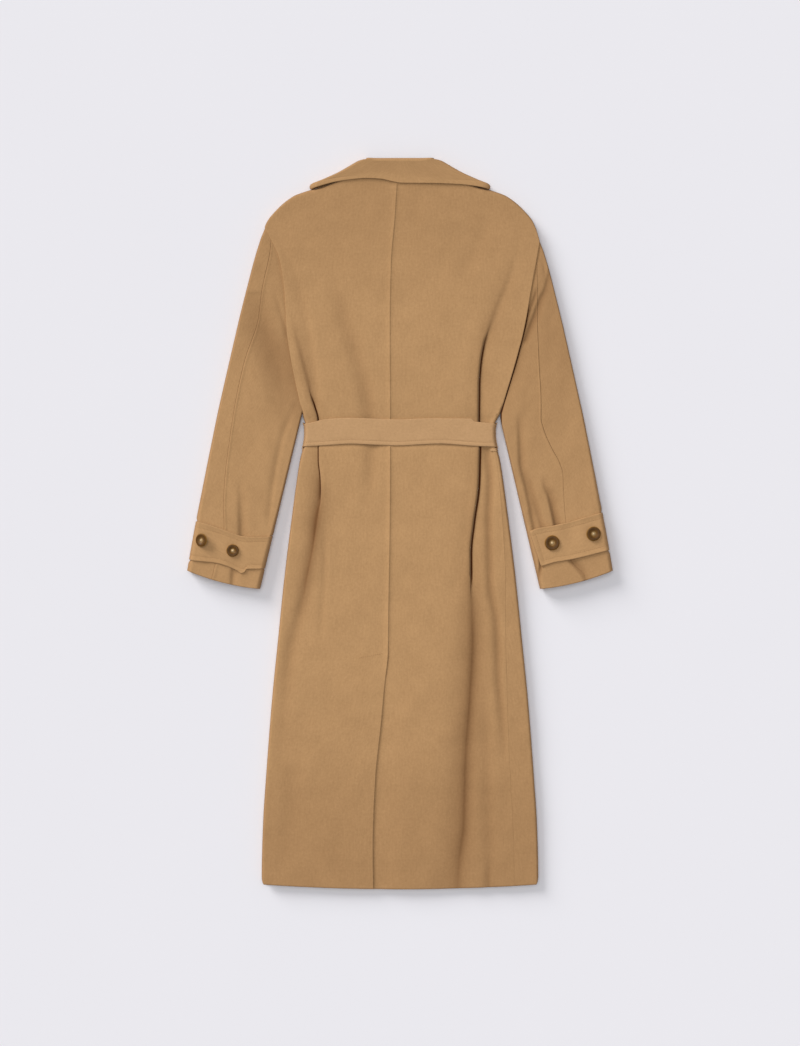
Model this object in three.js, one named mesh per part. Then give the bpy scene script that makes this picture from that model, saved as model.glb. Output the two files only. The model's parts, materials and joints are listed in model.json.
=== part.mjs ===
// A long double-breasted wool coat, laid face down on a table with its sleeves spread a little.
// Millimetres. +X is the wearer's right, +Y points to the collar and +Z is up off the table.
// The origin lies on the table under the middle of the outline.
// Every cloth piece is one wall: an outer skin and an inner skin on the same grid, closed by a rim.
import * as THREE from 'three';

// ---------------------------------------------------------------- driving sizes
const CLOTH = 2.5; // thickness of the felted wool
const SEAM_GAP = 0.3; // room between two pieces that are sewn together
const HALF_GAP = SEAM_GAP / 2;
const LAYER = CLOTH + SEAM_GAP; // one layer of cloth lying on another

const HEM_Y = -603.2; // lowest point of the hem
const HEM_RISE = 7; // how far the hem curves up towards the sides
const HEM_CORNER = 15; // how far the turned side edge draws the hem corner up
const UNDERARM_Y = 182;
const BEND_FROM = 205; // above this the rows bend up towards the neck
const SHOULDER_STEPS = [0, 0.2, 0.4, 0.6, 0.8, 0.92]; // rows from there to the shoulder tip
const EDGE_MIDDLE = 8; // height of the middle of a side edge
const EDGE_ROUND = 12; // how far in from the side the cloth is rounded

const BELT_Y = 152;
const BELT_HALF = 22.5;
const BELT_ZONE = 26; // half height of the strip that the belt draws flat
const LOOP_THICK = 1.5;
const LOOP_LOW_Z = 3;
const LOOP_WIDTH = 11;

const BREAK_Y = 310; // where the lapels start to turn back
const OVERLAP = 90; // how far each front passes the middle
const ROLL_TOP = { x: 72, y: 583 }; // where the roll line meets the neck

const FRONT_BUTTON_RADIUS = 14;
const CUFF_BUTTON_RADIUS = 10;
const BUTTON_THICK = 4;
const FRONT_BUTTON_X = 62;
const FRONT_BUTTON_ROWS = [270, 40, -80];
const BUTTON_RIDE = { flatX: 96, endX: 126, lowY: -97, ramp: 40 }; // the doubled front rides over them
const LAPEL_RIDE = { flatX: 152, endX: 180 }; // the chest rides over the lapels and the collar's ends

const VENT_TOP_Y = -212;
const VENT_LAP = 45;
const VENT_BLEND = 45;

// half width of the body below the underarm, inside the belt
const BODY_HALF = [
  { y: -604, half: 228.4 },
  { y: -554, half: 227.7 },
  { y: -488, half: 225.4 },
  { y: -422, half: 221.1 },
  { y: -290, half: 211.2 },
  { y: -191, half: 201.3 },
  { y: -84, half: 190.5 },
  { y: 40, half: 174.9 },
  { y: 106, half: 164.5 },
  { y: 129.5, half: 158.4 },
  { y: 152, half: 155.7 },
  { y: 174.5, half: 156.9 },
  { y: 182, half: 162 },
];

// armhole seams, out from the middle; up runs from BEND_FROM to the shoulder tip
const UNDERARM_OUT = 162;
const ARMHOLE = [
  { up: 0, left: 163.1, right: 172.5 },
  { up: 0.2, left: 173.9, right: 189.3 },
  { up: 0.4, left: 186.7, right: 202.9 },
  { up: 0.6, left: 190.2, right: 212.8 },
  { up: 0.8, left: 198.2, right: 220.6 },
  { up: 0.92, left: 210.2, right: 225.8 },
  { up: 1, left: 223, right: 230.5 },
];

// neck and shoulder line, out from the middle
const SHOULDER = [
  { out: 0, y: 569 },
  { out: 85, y: 571 },
  { out: 128, y: 556.5 },
  { out: 140, y: 552.5 },
  { out: 150, y: 550 },
  { out: 173.3, y: 543 },
  { out: 196.4, y: 526.4 },
  { out: 211, y: 510.5 },
  { out: 217.8, y: 501.6 },
  { out: 223, y: 489 },
  { out: 231, y: 466 },
];

// centre back seam down to the vent, then the vent's free edge
const CENTRE_BACK = [
  { y: -604, x: -43.9 },
  { y: -533, x: -44.6 },
  { y: -422, x: -40.6 },
  { y: -323, x: -30.5 },
  { y: -276, x: -26.4 },
  { y: -210, x: -19.2 },
  { y: -148, x: -21.3 },
  { y: 3, x: -19.8 },
  { y: 129, x: -17.4 },
  { y: 331, x: -18.1 },
  { y: 432, x: -14.9 },
  { y: 507, x: -8.3 },
  { y: 575, x: -4 },
];

// how far the side seams lie in from the side edge: on top at the right, beneath at the left
const SIDE_SEAM = [
  { y: -604, inset: 40 },
  { y: -480, inset: 40 },
  { y: -340, inset: 37 },
  { y: -190, inset: 27 },
  { y: -60, inset: 15 },
  { y: 60, inset: 8 },
  { y: 182, inset: 4 },
];

// height of the upper side of the coat off the table
const BACK_HEIGHT = [
  { y: -604, z: 13 },
  { y: -500, z: 14.5 },
  { y: -250, z: 15.5 },
  { y: 0, z: 16 },
  { y: 100, z: 16 },
  { y: 126, z: 14.2 },
  { y: 178, z: 14.2 },
  { y: 215, z: 16.5 },
  { y: 400, z: 17.5 },
  { y: 570, z: 16 },
];

// the largest folds of the back: a trough that follows a line, steep on one side and soft on the other
const BACK_FOLDS = [
  {
    name: 'right fold above the belt',
    line: [{ y: 174, x: 130 }, { y: 279, x: 133 }, { y: 357, x: 155 }, { y: 436, x: 178 }],
    deepest: 178, deep: 6.2, fades: 440, steep: 7, soft: 24, softSide: 1,
  },
  {
    name: 'right fold below the belt',
    line: [
      { y: -562, x: 98 }, { y: -498, x: 105 }, { y: -261, x: 116.5 },
      { y: -142, x: 118 }, { y: -48, x: 118 }, { y: 53, x: 130 }, { y: 126, x: 132 },
    ],
    deepest: 126, deep: 8, fades: -585, steep: 8, soft: 30, softSide: 1,
  },
  {
    name: 'left fold above the belt',
    line: [{ y: 174, x: -135.5 }, { y: 213, x: -149 }, { y: 266, x: -162 }, { y: 350, x: -172 }],
    deepest: 178, deep: 6.2, fades: 350, steep: 7, soft: 20, softSide: 1,
  },
  {
    name: 'left fold below the belt',
    line: [
      { y: -208, x: -185 }, { y: -124, x: -164 }, { y: -38, x: -146 },
      { y: 38, x: -134.3 }, { y: 126, x: -135.8 },
    ],
    deepest: 126, deep: 7, fades: -215, steep: 8, soft: 20, softSide: -1,
  },
];

// sleeve: the inner edge is straight, the outer edge bows out a little
const SLEEVE_INNER = { cuff: { out: 231, y: -107.3 } };
const SLEEVE_OUTER = { cuff: { out: 351.5, y: -77.2 } };
const ARMHOLE_GAP = 0.5; // sideways, so that a slanting seam still has its room
const SLEEVE_BOW = 6;
const CUFF_SAG = 4.9;
const FOREARM_SEAM = 0.22; // share of the width, on the underside

// along runs from 0 at the armhole to 1 at the cuff
const SLEEVE_FORM = [
  { along: 0, top: 13, middle: 8, round: 9 },
  { along: 0.12, top: 16, middle: 8, round: 9 },
  { along: 0.6, top: 17, middle: 8, round: 11 },
  { along: 0.8, top: 19, middle: 9.5, round: 16 },
  { along: 1, top: 20, middle: 10, round: 17 },
];
const HIND_SEAM = {
  left: [
    { along: 0, share: 0.885 },
    { along: 0.19, share: 0.86 },
    { along: 0.45, share: 0.855 },
    { along: 0.58, share: 0.8 },
    { along: 0.76, share: 0.7 },
    { along: 0.82, share: 0.645 },
    { along: 1, share: 0.66 },
  ],
  right: [
    { along: 0, share: 0.86 },
    { along: 0.12, share: 0.73 },
    { along: 0.21, share: 0.61 },
    { along: 0.355, share: 0.48 },
    { along: 0.46, share: 0.51 },
    { along: 0.59, share: 0.61 },
    { along: 0.71, share: 0.56 },
    { along: 1, share: 0.5 },
  ],
};
// the cuff strap's two edges at the sleeve's inner and outer side
const STRAP = {
  left: { topInner: 0.71, topOuter: 0.853, lowInner: 0.902, lowOuter: 0.952 },
  right: { topInner: 0.694, topOuter: 0.825, lowInner: 0.874, lowOuter: 0.939 },
};
const STRAP_ZONE = { from: 0.685, to: 0.96, ramp: 0.03 };
const CUFF_BUTTONS = [
  { name: 'cuff_button_left_inner', side: 'left', along: 0.871, share: 0.459, tilt: 0 },
  { name: 'cuff_button_left_outer', side: 'left', along: 0.896, share: 0.875, tilt: -0.45 },
  { name: 'cuff_button_right_inner', side: 'right', along: 0.81, share: 0.293, tilt: 0 },
  { name: 'cuff_button_right_outer', side: 'right', along: 0.87, share: 0.845, tilt: 0.2 },
];

// collar: seen as a trapezoid on top, its ends turn round the neck to the underside
const COLLAR = {
  foldY: 603.2, foldHalf: 54, tipOut: 147.5, tipY: 554.5, middleLeafY: 563.5,
  foldTop: 24, leafTop: 20.8, edgeMiddle: 11, bulge: 6, rollOuter: 5.25,
  pointOut: 120, pointY: 500, gorgeOut: 34, gorgeY: 537,
};
const STAND = { lowHalf: 78, highHalf: 34, highY: 594, top: 16 };

// ---------------------------------------------------------------- colours
const WOOL = new THREE.Color(0xb18a60);
const BELT_WOOL = new THREE.Color(0xbc956c);
const HORN = new THREE.Color(0x5f4426);
const matte = (color) => new THREE.MeshStandardMaterial({ color, roughness: 0.95, metalness: 0 });
const woolMaterial = () => matte(WOOL);
const beltMaterial = () => matte(BELT_WOOL);
const hornMaterial = () => new THREE.MeshStandardMaterial({ color: HORN, roughness: 0.3, metalness: 0 });

// ---------------------------------------------------------------- small helpers
const mix = (a, b, t) => a + (b - a) * t;
const clamp01 = (t) => Math.min(1, Math.max(0, t));
const ease = (t) => clamp01(t) ** 2 * (3 - 2 * clamp01(t));
const quarter = (f) => Math.sqrt(1 - (1 - clamp01(f)) ** 2); // 0 at the edge, 1 where the round ends

// reads a value from a table by straight lines between its rows
function read(table, key, column, at) {
  const last = table.length - 1;
  let i = 0;
  while (i < last - 1 && at > table[i + 1][key]) i += 1;
  const a = table[i];
  const b = table[i + 1];
  return mix(a[column], b[column], clamp01((at - a[key]) / (b[key] - a[key])));
}

// closes two skins on one grid into a wall; cells that active() refuses are left out
function wall(name, material, outer, inner, options = {}) {
  const rows = outer.length;
  const cols = outer[0].length;
  const ring = options.ring === true;
  const cellCols = ring ? cols : cols - 1;
  const active = options.active ?? (() => true);
  const isOn = (i, j) => {
    if (i < 0 || i >= rows - 1) return false;
    if (!ring && (j < 0 || j >= cellCols)) return false;
    return active(i, (j + cellCols) % cellCols);
  };
  const positions = [];
  const ids = new Map();
  const corner = (skin, i, j) => {
    const col = ring ? (j + cols) % cols : j;
    const key = `${skin},${i},${col}`;
    if (!ids.has(key)) {
      const point = (skin === 0 ? outer : inner)[i][col];
      ids.set(key, positions.length / 3);
      positions.push(...point);
    }
    return ids.get(key);
  };
  const index = [];
  const quad = (a, b, c, d) => index.push(a, b, c, a, c, d);
  for (let i = 0; i < rows - 1; i += 1) {
    for (let j = 0; j < cellCols; j += 1) {
      if (!isOn(i, j)) continue;
      const cell = [[i, j], [i, j + 1], [i + 1, j + 1], [i + 1, j]];
      const [a, b, c, d] = cell.map(([r, k]) => corner(0, r, k));
      const [e, f, g, h] = cell.map(([r, k]) => corner(1, r, k));
      quad(a, b, c, d);
      quad(h, g, f, e);
      if (!isOn(i - 1, j)) quad(b, a, e, f);
      if (!isOn(i, j + 1)) quad(c, b, f, g);
      if (!isOn(i + 1, j)) quad(d, c, g, h);
      if (!isOn(i, j - 1)) quad(a, d, h, e);
    }
  }
  let volume = 0;
  const at = (n) => new THREE.Vector3().fromArray(positions, 3 * n);
  for (let n = 0; n < index.length; n += 3) {
    volume += at(index[n]).dot(at(index[n + 1]).cross(at(index[n + 2])));
  }
  if (volume < 0) index.reverse();
  const geometry = new THREE.BufferGeometry();
  geometry.setAttribute('position', new THREE.Float32BufferAttribute(positions, 3));
  geometry.setIndex(index);
  geometry.computeVertexNormals();
  const mesh = new THREE.Mesh(geometry, material);
  mesh.name = name;
  return mesh;
}

// ---------------------------------------------------------------- body: outline and heights
const SIDES = {
  left: { name: 'left', sign: -1, tip: { out: 223, y: 487 } },
  right: { name: 'right', sign: 1, tip: { out: 230.5, y: 466 } },
};
for (const side of Object.values(SIDES)) {
  side.armhole = [
    { y: UNDERARM_Y, out: UNDERARM_OUT },
    ...ARMHOLE.map((row) => ({ y: mix(BEND_FROM, side.tip.y, row.up), out: row[side.name] })),
  ];
}
const edgeOut = (side, y) =>
  (y > UNDERARM_Y ? read(side.armhole, 'y', 'out', y) : read(BODY_HALF, 'y', 'half', y));
const shoulderY = (out) => read(SHOULDER, 'out', 'y', Math.max(out, 0));
const centreBackX = (y) => read(CENTRE_BACK, 'y', 'x', y);
const seamInset = (y) => read(SIDE_SEAM, 'y', 'inset', y);

function foldHeight(fold, x, y) {
  const strength = clamp01((y - fold.fades) / (fold.deepest - fold.fades));
  const passed = (fold.deepest - fold.fades) * (y - fold.deepest) > 0;
  if (passed || strength === 0) return 0;
  const away = x - read(fold.line, 'y', 'x', y);
  const reach = away * fold.softSide > 0 ? fold.soft : fold.steep;
  return -fold.deep * Math.sqrt(strength) * Math.exp(-((away / reach) ** 2));
}

// upper side of the coat's body
function backTop(x, y) {
  const base = read(BACK_HEIGHT, 'y', 'z', y);
  return BACK_FOLDS.reduce((z, fold) => z + foldHeight(fold, x, y), base);
}

// underside of the fronts: they ride over the belt, the lapels and the buttons
function frontBottom(x, y) {
  const out = Math.abs(x);
  const belt = ease((BELT_ZONE + 25 - Math.abs(y - BELT_Y)) / 25) * LAYER;
  const chest = ease((LAPEL_RIDE.endX - out) / (LAPEL_RIDE.endX - LAPEL_RIDE.flatX));
  const lapel = ease((y - BREAK_Y + 35) / 30) * chest * LAYER;
  const across = ease((BUTTON_RIDE.endX - out) / (BUTTON_RIDE.endX - BUTTON_RIDE.flatX));
  const below = ease((y - BUTTON_RIDE.lowY + BUTTON_RIDE.ramp) / BUTTON_RIDE.ramp);
  const buttons = across * below * (BUTTON_THICK + SEAM_GAP);
  return Math.max(belt, lapel, buttons);
}

// the front edge, then the roll line up to the neck, out from the middle of its own side
function frontEdgeOut(y) {
  if (y < BREAK_Y) return -OVERLAP;
  return mix(-OVERLAP, ROLL_TOP.x, (y - BREAK_Y) / (ROLL_TOP.y - BREAK_Y));
}

// the left front lies one layer higher as far as the right one reaches under it
function leftFrontBottom(x, y) {
  const over = ease((x + BUTTON_RIDE.endX) / (BUTTON_RIDE.endX - BUTTON_RIDE.flatX));
  return frontBottom(x, y) + LAYER * over;
}

// the right back lies one layer lower beside the vent, where the left back laps over it
function rightBackTop(x, y) {
  const below = ease((VENT_TOP_Y + 22 - y) / 20);
  const beside = ease(1 - (x - centreBackX(y) - 4) / VENT_BLEND);
  return backTop(x, y) - LAYER * below * beside;
}

// rows from the hem to the shoulder; bend lifts a row to the neck, round counts down at the shoulder
function bodyRows(side) {
  const heights = [
    HEM_Y, -590, -560, -490, -400, -300, -247, -217, BUTTON_RIDE.lowY - BUTTON_RIDE.ramp,
    BUTTON_RIDE.lowY, -20, 40, 90, BELT_Y - BELT_HALF, BELT_Y, BELT_Y + BELT_HALF, UNDERARM_Y,
  ];
  const rows = heights.map((y) => ({ y, bend: 0, hem: ease((-540 - y) / 50), round: 1 }));
  for (const up of SHOULDER_STEPS) {
    rows.push({ y: mix(BEND_FROM, side.tip.y, up), bend: up, hem: 0, round: 1 });
  }
  for (const round of [1, 0.5, 0.14, 0]) {
    rows.push({ y: side.tip.y - round * EDGE_ROUND, bend: 1, hem: 0, round });
  }
  return rows;
}

// one point of a body panel; depth is measured in from the outer skin
function bodyPoint(side, row, column, depth, height) {
  const onTop = column.skin === 'top';
  const rounded = 1 - ease((row.y - UNDERARM_Y) / 20);
  const lift = row.bend * (shoulderY(column.topOut) - side.tip.y);
  const shoulder = onTop ? ease((column.topOut - 85) / 15) : 1;
  const level = row.y - depth * shoulder * (1 - row.round);
  const edge = edgeOut(side, level);
  let y = level + lift;
  const inset = column.inset ? column.inset(row.y) : edge - column.out(y);
  const share = clamp01(inset / EDGE_ROUND);
  const out = edge - inset - (column.inset ? depth * rounded * (1 - share) : 0);
  const hemLine = HEM_RISE * (out / 214) ** 2 + HEM_CORNER * (1 - quarter(share));
  y += row.hem * hemLine;
  const x = side.sign * out;
  const full = (1 - rounded * (1 - quarter(share))) * (1 - shoulder * (1 - quarter(row.round)));
  const base = EDGE_MIDDLE + (onTop ? HALF_GAP : -HALF_GAP);
  const reach = height(x, y) + (onTop ? -depth : depth);
  return [x, y, mix(base, reach, full)];
}

const fixedColumn = (skin, out) => {
  let topOut = out(560);
  for (let n = 0; n < 4; n += 1) topOut = out(shoulderY(topOut));
  return { skin, out, topOut };
};
const between = (skin, from, to, share) => fixedColumn(skin, (y) => mix(from(y), to(y), share));
const insetColumn = (side, skin, inset) =>
  ({ skin, inset, topOut: side.tip.out - inset(side.tip.y) });

function bodyPanel(name, side, columns, height, active) {
  const rows = bodyRows(side);
  const skin = (depth) => rows.map((row) =>
    columns.map((column) => bodyPoint(side, row, column, depth, height[column.skin])));
  return wall(name, woolMaterial(), skin(0), skin(CLOTH), { active });
}

const UNDERARM_ROW = bodyRows(SIDES.left).findIndex((row) => row.y === UNDERARM_Y);
const EDGE_STEPS = [0.14, 0.5, 1];
const FINE_STEPS = [0.04, 0.14, 0.3, 0.5, 0.75, 1]; // for bands that lie over a rounded edge
const WRAP_STEPS = [0.1, 0.35, 0.68, 1];

// columns on a panel between two lines, in equal steps or bunched at a fold
function spread(skin, from, to, shares) {
  return shares.map((share) => between(skin, from, to, share));
}

function makeBackLeft() {
  const side = SIDES.left;
  const seam = (y) => -centreBackX(y) + HALF_GAP;
  const foldLow = (y) => (y > BELT_Y
    ? -read(BACK_FOLDS[2].line, 'y', 'x', y)
    : -read(BACK_FOLDS[3].line, 'y', 'x', y));
  const edge = (y) => edgeOut(side, Math.min(y, side.tip.y)) - EDGE_ROUND;
  const fold = (y) => Math.min(foldLow(y), edge(y) - 6);
  const columns = [
    ...spread('top', seam, fold, [0, 0.35, 0.65, 0.85]),
    ...spread('top', fold, edge, [0, 0.5]),
    ...[...EDGE_STEPS].reverse().map((step) => insetColumn(side, 'top', () => step * EDGE_ROUND)),
    insetColumn(side, 'top', () => 0),
    ...WRAP_STEPS.map((step) => insetColumn(side, 'bottom', (y) => step * seamInset(y))),
  ];
  const wrapFrom = columns.findIndex((column) => column.skin === 'bottom') - 1;
  const active = (i, j) => i < UNDERARM_ROW || j < wrapFrom;
  return bodyPanel('back_left', side, columns, { top: backTop, bottom: frontBottom }, active);
}

function makeBackRight() {
  const side = SIDES.right;
  const lap = (y) => VENT_LAP * ease((VENT_TOP_Y - 5 - y) / 30);
  const seam = (y) => centreBackX(y) + HALF_GAP;
  const low = (y) => seam(y) - lap(y);
  const beside = (y) => seam(y) + 4;
  const foldLine = (y) => (y > BELT_Y
    ? read(BACK_FOLDS[0].line, 'y', 'x', y)
    : read(BACK_FOLDS[1].line, 'y', 'x', y));
  const edgeInset = (y) => (y > UNDERARM_Y ? 0 : seamInset(y) + SEAM_GAP);
  const edge = (y) => edgeOut(side, Math.min(y, side.tip.y)) - edgeInset(y);
  const columns = [
    ...spread('top', low, beside, [0]),
    ...spread('top', beside, foldLine, [0, 0.35, 0.7, 0.92]),
    ...spread('top', foldLine, (y) => edge(y) - EDGE_ROUND, [0, 0.25, 0.6]),
    ...[1, 0.5, 0].map((step) =>
      insetColumn(side, 'top', (y) => edgeInset(y) + step * EDGE_ROUND)),
  ];
  return bodyPanel('back_right', side, columns, { top: rightBackTop, bottom: frontBottom });
}

// columns of a front from its free edge to short of the side edge, one at the end of each ramp
function frontColumns(side, edgeInset) {
  const free = (y) => frontEdgeOut(y) + HALF_GAP;
  const edge = (y) => edgeOut(side, Math.min(y, side.tip.y)) - edgeInset(y) - EDGE_ROUND;
  const lines = [0, BUTTON_RIDE.flatX, BUTTON_RIDE.endX, LAPEL_RIDE.flatX, LAPEL_RIDE.endX];
  const held = (line, n) => (y) =>
    Math.max(Math.min(line, edge(y) - 6 * (lines.length - n)), free(y) + 8 * (n + 1));
  return [free, ...lines.map(held)].map((line) => fixedColumn('bottom', line));
}

function makeFrontRight() {
  const side = SIDES.right;
  const columns = [
    ...frontColumns(side, () => 0),
    ...[...EDGE_STEPS].reverse().map((step) => insetColumn(side, 'bottom', () => step * EDGE_ROUND)),
    insetColumn(side, 'bottom', () => 0),
    ...WRAP_STEPS.map((step) => insetColumn(side, 'top', (y) => step * seamInset(y))),
  ];
  const wrapFrom = columns.findIndex((column) => column.skin === 'top') - 1;
  const active = (i, j) => i < UNDERARM_ROW || j < wrapFrom;
  return bodyPanel('front_right', side, columns, { top: backTop, bottom: frontBottom }, active);
}

function makeFrontLeft() {
  const side = SIDES.left;
  const edgeInset = (y) => (y > UNDERARM_Y ? 0 : seamInset(y) + SEAM_GAP);
  const columns = [
    ...frontColumns(side, edgeInset),
    ...[1, 0.5, 0].map((step) =>
      insetColumn(side, 'bottom', (y) => edgeInset(y) + step * EDGE_ROUND)),
  ];
  return bodyPanel('front_left', side, columns, { top: backTop, bottom: leftFrontBottom });
}

// ---------------------------------------------------------------- sleeves and cuff straps
const lengthsAlong = (points) => {
  const lengths = [0];
  for (let n = 1; n < points.length; n += 1) {
    const step = Math.hypot(points[n].out - points[n - 1].out, points[n].y - points[n - 1].y);
    lengths.push(lengths[n - 1] + step);
  }
  return lengths;
};

// point of the armhole seam at a share of its length from the underarm
function armholePoint(side, share) {
  const lengths = lengthsAlong(side.armhole);
  const at = share * lengths[lengths.length - 1];
  const rows = side.armhole.map((row, n) => ({ length: lengths[n], out: row.out, y: row.y }));
  return { out: read(rows, 'length', 'out', at), y: read(rows, 'length', 'y', at) };
}

const strapped = (along) => Math.min(
  ease((along - STRAP_ZONE.from + STRAP_ZONE.ramp) / STRAP_ZONE.ramp),
  ease((STRAP_ZONE.to + STRAP_ZONE.ramp - along) / STRAP_ZONE.ramp),
);

// one point of a sleeve: share runs from the inner edge to the outer edge
function sleevePoint(side, along, share, skin, depth) {
  const start = armholePoint(side, share);
  const low = armholePoint(side, 0);
  const high = armholePoint(side, 1);
  const draw = LAYER * strapped(along);
  const innerEdge = {
    out: mix(low.out + ARMHOLE_GAP, SLEEVE_INNER.cuff.out, along),
    y: mix(low.y, SLEEVE_INNER.cuff.y, along),
  };
  const outerEdge = {
    out: mix(high.out + ARMHOLE_GAP, SLEEVE_OUTER.cuff.out, along) + SLEEVE_BOW * Math.sin(Math.PI * along),
    y: mix(high.y, SLEEVE_OUTER.cuff.y, along),
  };
  const width = Math.hypot(outerEdge.out - innerEdge.out, outerEdge.y - innerEdge.y);
  const unit = { out: (outerEdge.out - innerEdge.out) / width, y: (outerEdge.y - innerEdge.y) / width };
  const fromEdge = Math.min(share, 1 - share) * width;
  const round = read(SLEEVE_FORM, 'along', 'round', along);
  const fraction = clamp01(fromEdge / round);
  const inward = (draw + depth) * (1 - fraction) * (share < 0.5 ? 1 : -1);
  const bow = (1 - along) ** 2;
  const bendOut = (start.out - mix(low.out, high.out, share)) * bow;
  const bendY = (start.y - mix(low.y, high.y, share)) * bow;
  const sag = CUFF_SAG * 4 * share * (1 - share) * along ** 3;
  const place = share * width + inward;
  const out = innerEdge.out + unit.out * place + bendOut;
  const y = innerEdge.y + unit.y * place + bendY - sag;
  const middle = read(SLEEVE_FORM, 'along', 'middle', along);
  const top = read(SLEEVE_FORM, 'along', 'top', along);
  const reach = skin === 'top' ? top - depth : draw + depth;
  return [side.sign * out, y, mix(middle, reach, quarter(fraction))];
}

const SLEEVE_ROWS = [0, 0.12, 0.27, 0.42, 0.58, 0.655, 0.685, 0.76, 0.82, 0.88, 0.96, 1];
const sleeveWidth = (side, along) => {
  const low = armholePoint(side, 0);
  const high = armholePoint(side, 1);
  const start = Math.hypot(high.out - low.out, high.y - low.y);
  const cuff = Math.hypot(
    SLEEVE_OUTER.cuff.out - SLEEVE_INNER.cuff.out,
    SLEEVE_OUTER.cuff.y - SLEEVE_INNER.cuff.y,
  );
  return mix(start, cuff, along);
};
const roundShare = (side, along) =>
  read(SLEEVE_FORM, 'along', 'round', along) / sleeveWidth(side, along);
const hindShare = (side, along) => read(HIND_SEAM[side.name], 'along', 'share', along);

// shares of the armhole's corners, so that the sleeve meets every corner of the body's edge
function armholeShares(side) {
  const lengths = lengthsAlong(side.armhole);
  return lengths.map((length) => length / lengths[lengths.length - 1]);
}

function sleevePiece(name, side, columns) {
  const skin = (depth) => SLEEVE_ROWS.map((along) =>
    columns.map((column) => sleevePoint(side, along, column.share(along), column.skin, depth)));
  return wall(name, woolMaterial(), skin(0), skin(CLOTH));
}

// columns between two lines of the sleeve, one at each armhole corner that lies between them
function stretch(side, skin, from, to) {
  const [a, b] = [from(0), to(0)];
  const inside = armholeShares(side).filter((share) => (share - a - 0.01) * (b - 0.01 - share) > 0);
  return inside.map((corner) => ({
    skin,
    share: (along) => mix(from(along), to(along), (corner - a) / (b - a)),
  }));
}

function makeSleeve(side) {
  const gapShare = (along) => HALF_GAP / sleeveWidth(side, along);
  const hindOut = (along) => hindShare(side, along) + gapShare(along);
  const hindIn = (along) => hindShare(side, along) - gapShare(along);
  const forearmOut = (along) => FOREARM_SEAM + gapShare(along);
  const forearmIn = (along) => FOREARM_SEAM - gapShare(along);
  const low = (step) => (along) => step * roundShare(side, along);
  const high = (step) => (along) => 1 - step * roundShare(side, along);
  const on = (skin, lines) => lines.map((share) => ({ skin, share }));
  const turn = [...EDGE_STEPS].reverse();
  const upper = [
    ...on('top', [hindOut]),
    ...stretch(side, 'top', hindOut, high(1)),
    ...on('top', [...turn.map(high), high(0)]),
    ...on('bottom', EDGE_STEPS.map(high)),
    ...stretch(side, 'bottom', forearmOut, high(1)).reverse(),
    ...on('bottom', [forearmOut]),
  ];
  const under = [
    ...on('bottom', [forearmIn]),
    ...stretch(side, 'bottom', low(1), forearmIn).reverse(),
    ...on('bottom', turn.map(low)),
    ...on('top', [low(0), ...EDGE_STEPS.map(low)]),
    ...stretch(side, 'top', low(1), hindIn),
    ...on('top', [hindIn]),
  ];
  return [
    sleevePiece(`sleeve_upper_${side.name}`, side, upper),
    sleevePiece(`sleeve_under_${side.name}`, side, under),
  ];
}

// the strap follows the sleeve one gap outside it
function makeCuffStrap(side) {
  const edges = STRAP[side.name];
  const along = (share, t) => mix(
    mix(edges.topInner, edges.topOuter, share),
    mix(edges.lowInner, edges.lowOuter, share),
    t,
  );
  const round = roundShare(side, 0.82);
  const overOuter = [
    ...[0.3, 0.5, 0.7].map((share) => ({ skin: 'top', share })),
    ...[...FINE_STEPS].reverse().map((step) => ({ skin: 'top', share: 1 - step * round })),
    { skin: 'top', share: 1 },
    ...FINE_STEPS.map((step) => ({ skin: 'bottom', share: 1 - step * round })),
    { skin: 'bottom', share: 0.5 },
    { skin: 'bottom', share: side.name === 'right' ? 0.2 : 0.34 },
  ];
  const overInner = [
    { skin: 'bottom', share: 0.3 },
    ...[...FINE_STEPS].reverse().map((step) => ({ skin: 'bottom', share: step * round })),
    ...[0, ...FINE_STEPS].map((step) => ({ skin: 'top', share: step * round })),
  ];
  const squareEnd = [{ skin: 'top', share: 0.075 }, { skin: 'top', share: round }];
  const columns = [...(side.name === 'right' ? squareEnd : overInner), ...overOuter];
  const skin = (depth) => [0, 0.5, 1].map((t) => columns.map((column) =>
    sleevePoint(side, along(column.share, t), column.share, column.skin, depth)));
  return wall(`cuff_strap_${side.name}`, woolMaterial(), skin(-LAYER), skin(-SEAM_GAP));
}

// ---------------------------------------------------------------- belt and its loops
function makeBelt() {
  const rows = [BELT_Y - BELT_HALF, BELT_Y, BELT_Y + BELT_HALF];
  const steps = { top: [0, ...FINE_STEPS], bottom: FINE_STEPS };
  const half = (skin) => [
    ...steps[skin].map((step) => ({ skin, edge: true, inset: step * EDGE_ROUND })),
    ...[0.6, 0.25].map((share) => ({ skin, share })),
  ];
  const point = (side, y, column, depth) => {
    const edge = edgeOut(side, y);
    const inset = column.edge ? column.inset : edge - edge * column.share;
    const share = clamp01(inset / EDGE_ROUND);
    const out = edge - inset - depth * (1 - share);
    const reach = column.skin === 'top' ? read(BACK_HEIGHT, 'y', 'z', BELT_Y) - depth : LAYER + depth;
    return [side.sign * out, y, mix(EDGE_MIDDLE, reach, quarter(share))];
  };
  const loop = [
    ...half('top').map((column) => [SIDES.right, column]),
    ...half('top').reverse().map((column) => [SIDES.left, column]),
    ...half('bottom').map((column) => [SIDES.left, column]),
    ...half('bottom').reverse().map((column) => [SIDES.right, column]),
  ];
  const skin = (depth) => rows.map((y) => loop.map(([side, column]) => point(side, y, column, depth)));
  return wall('belt', beltMaterial(), skin(-LAYER), skin(-SEAM_GAP), { ring: true });
}

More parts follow.
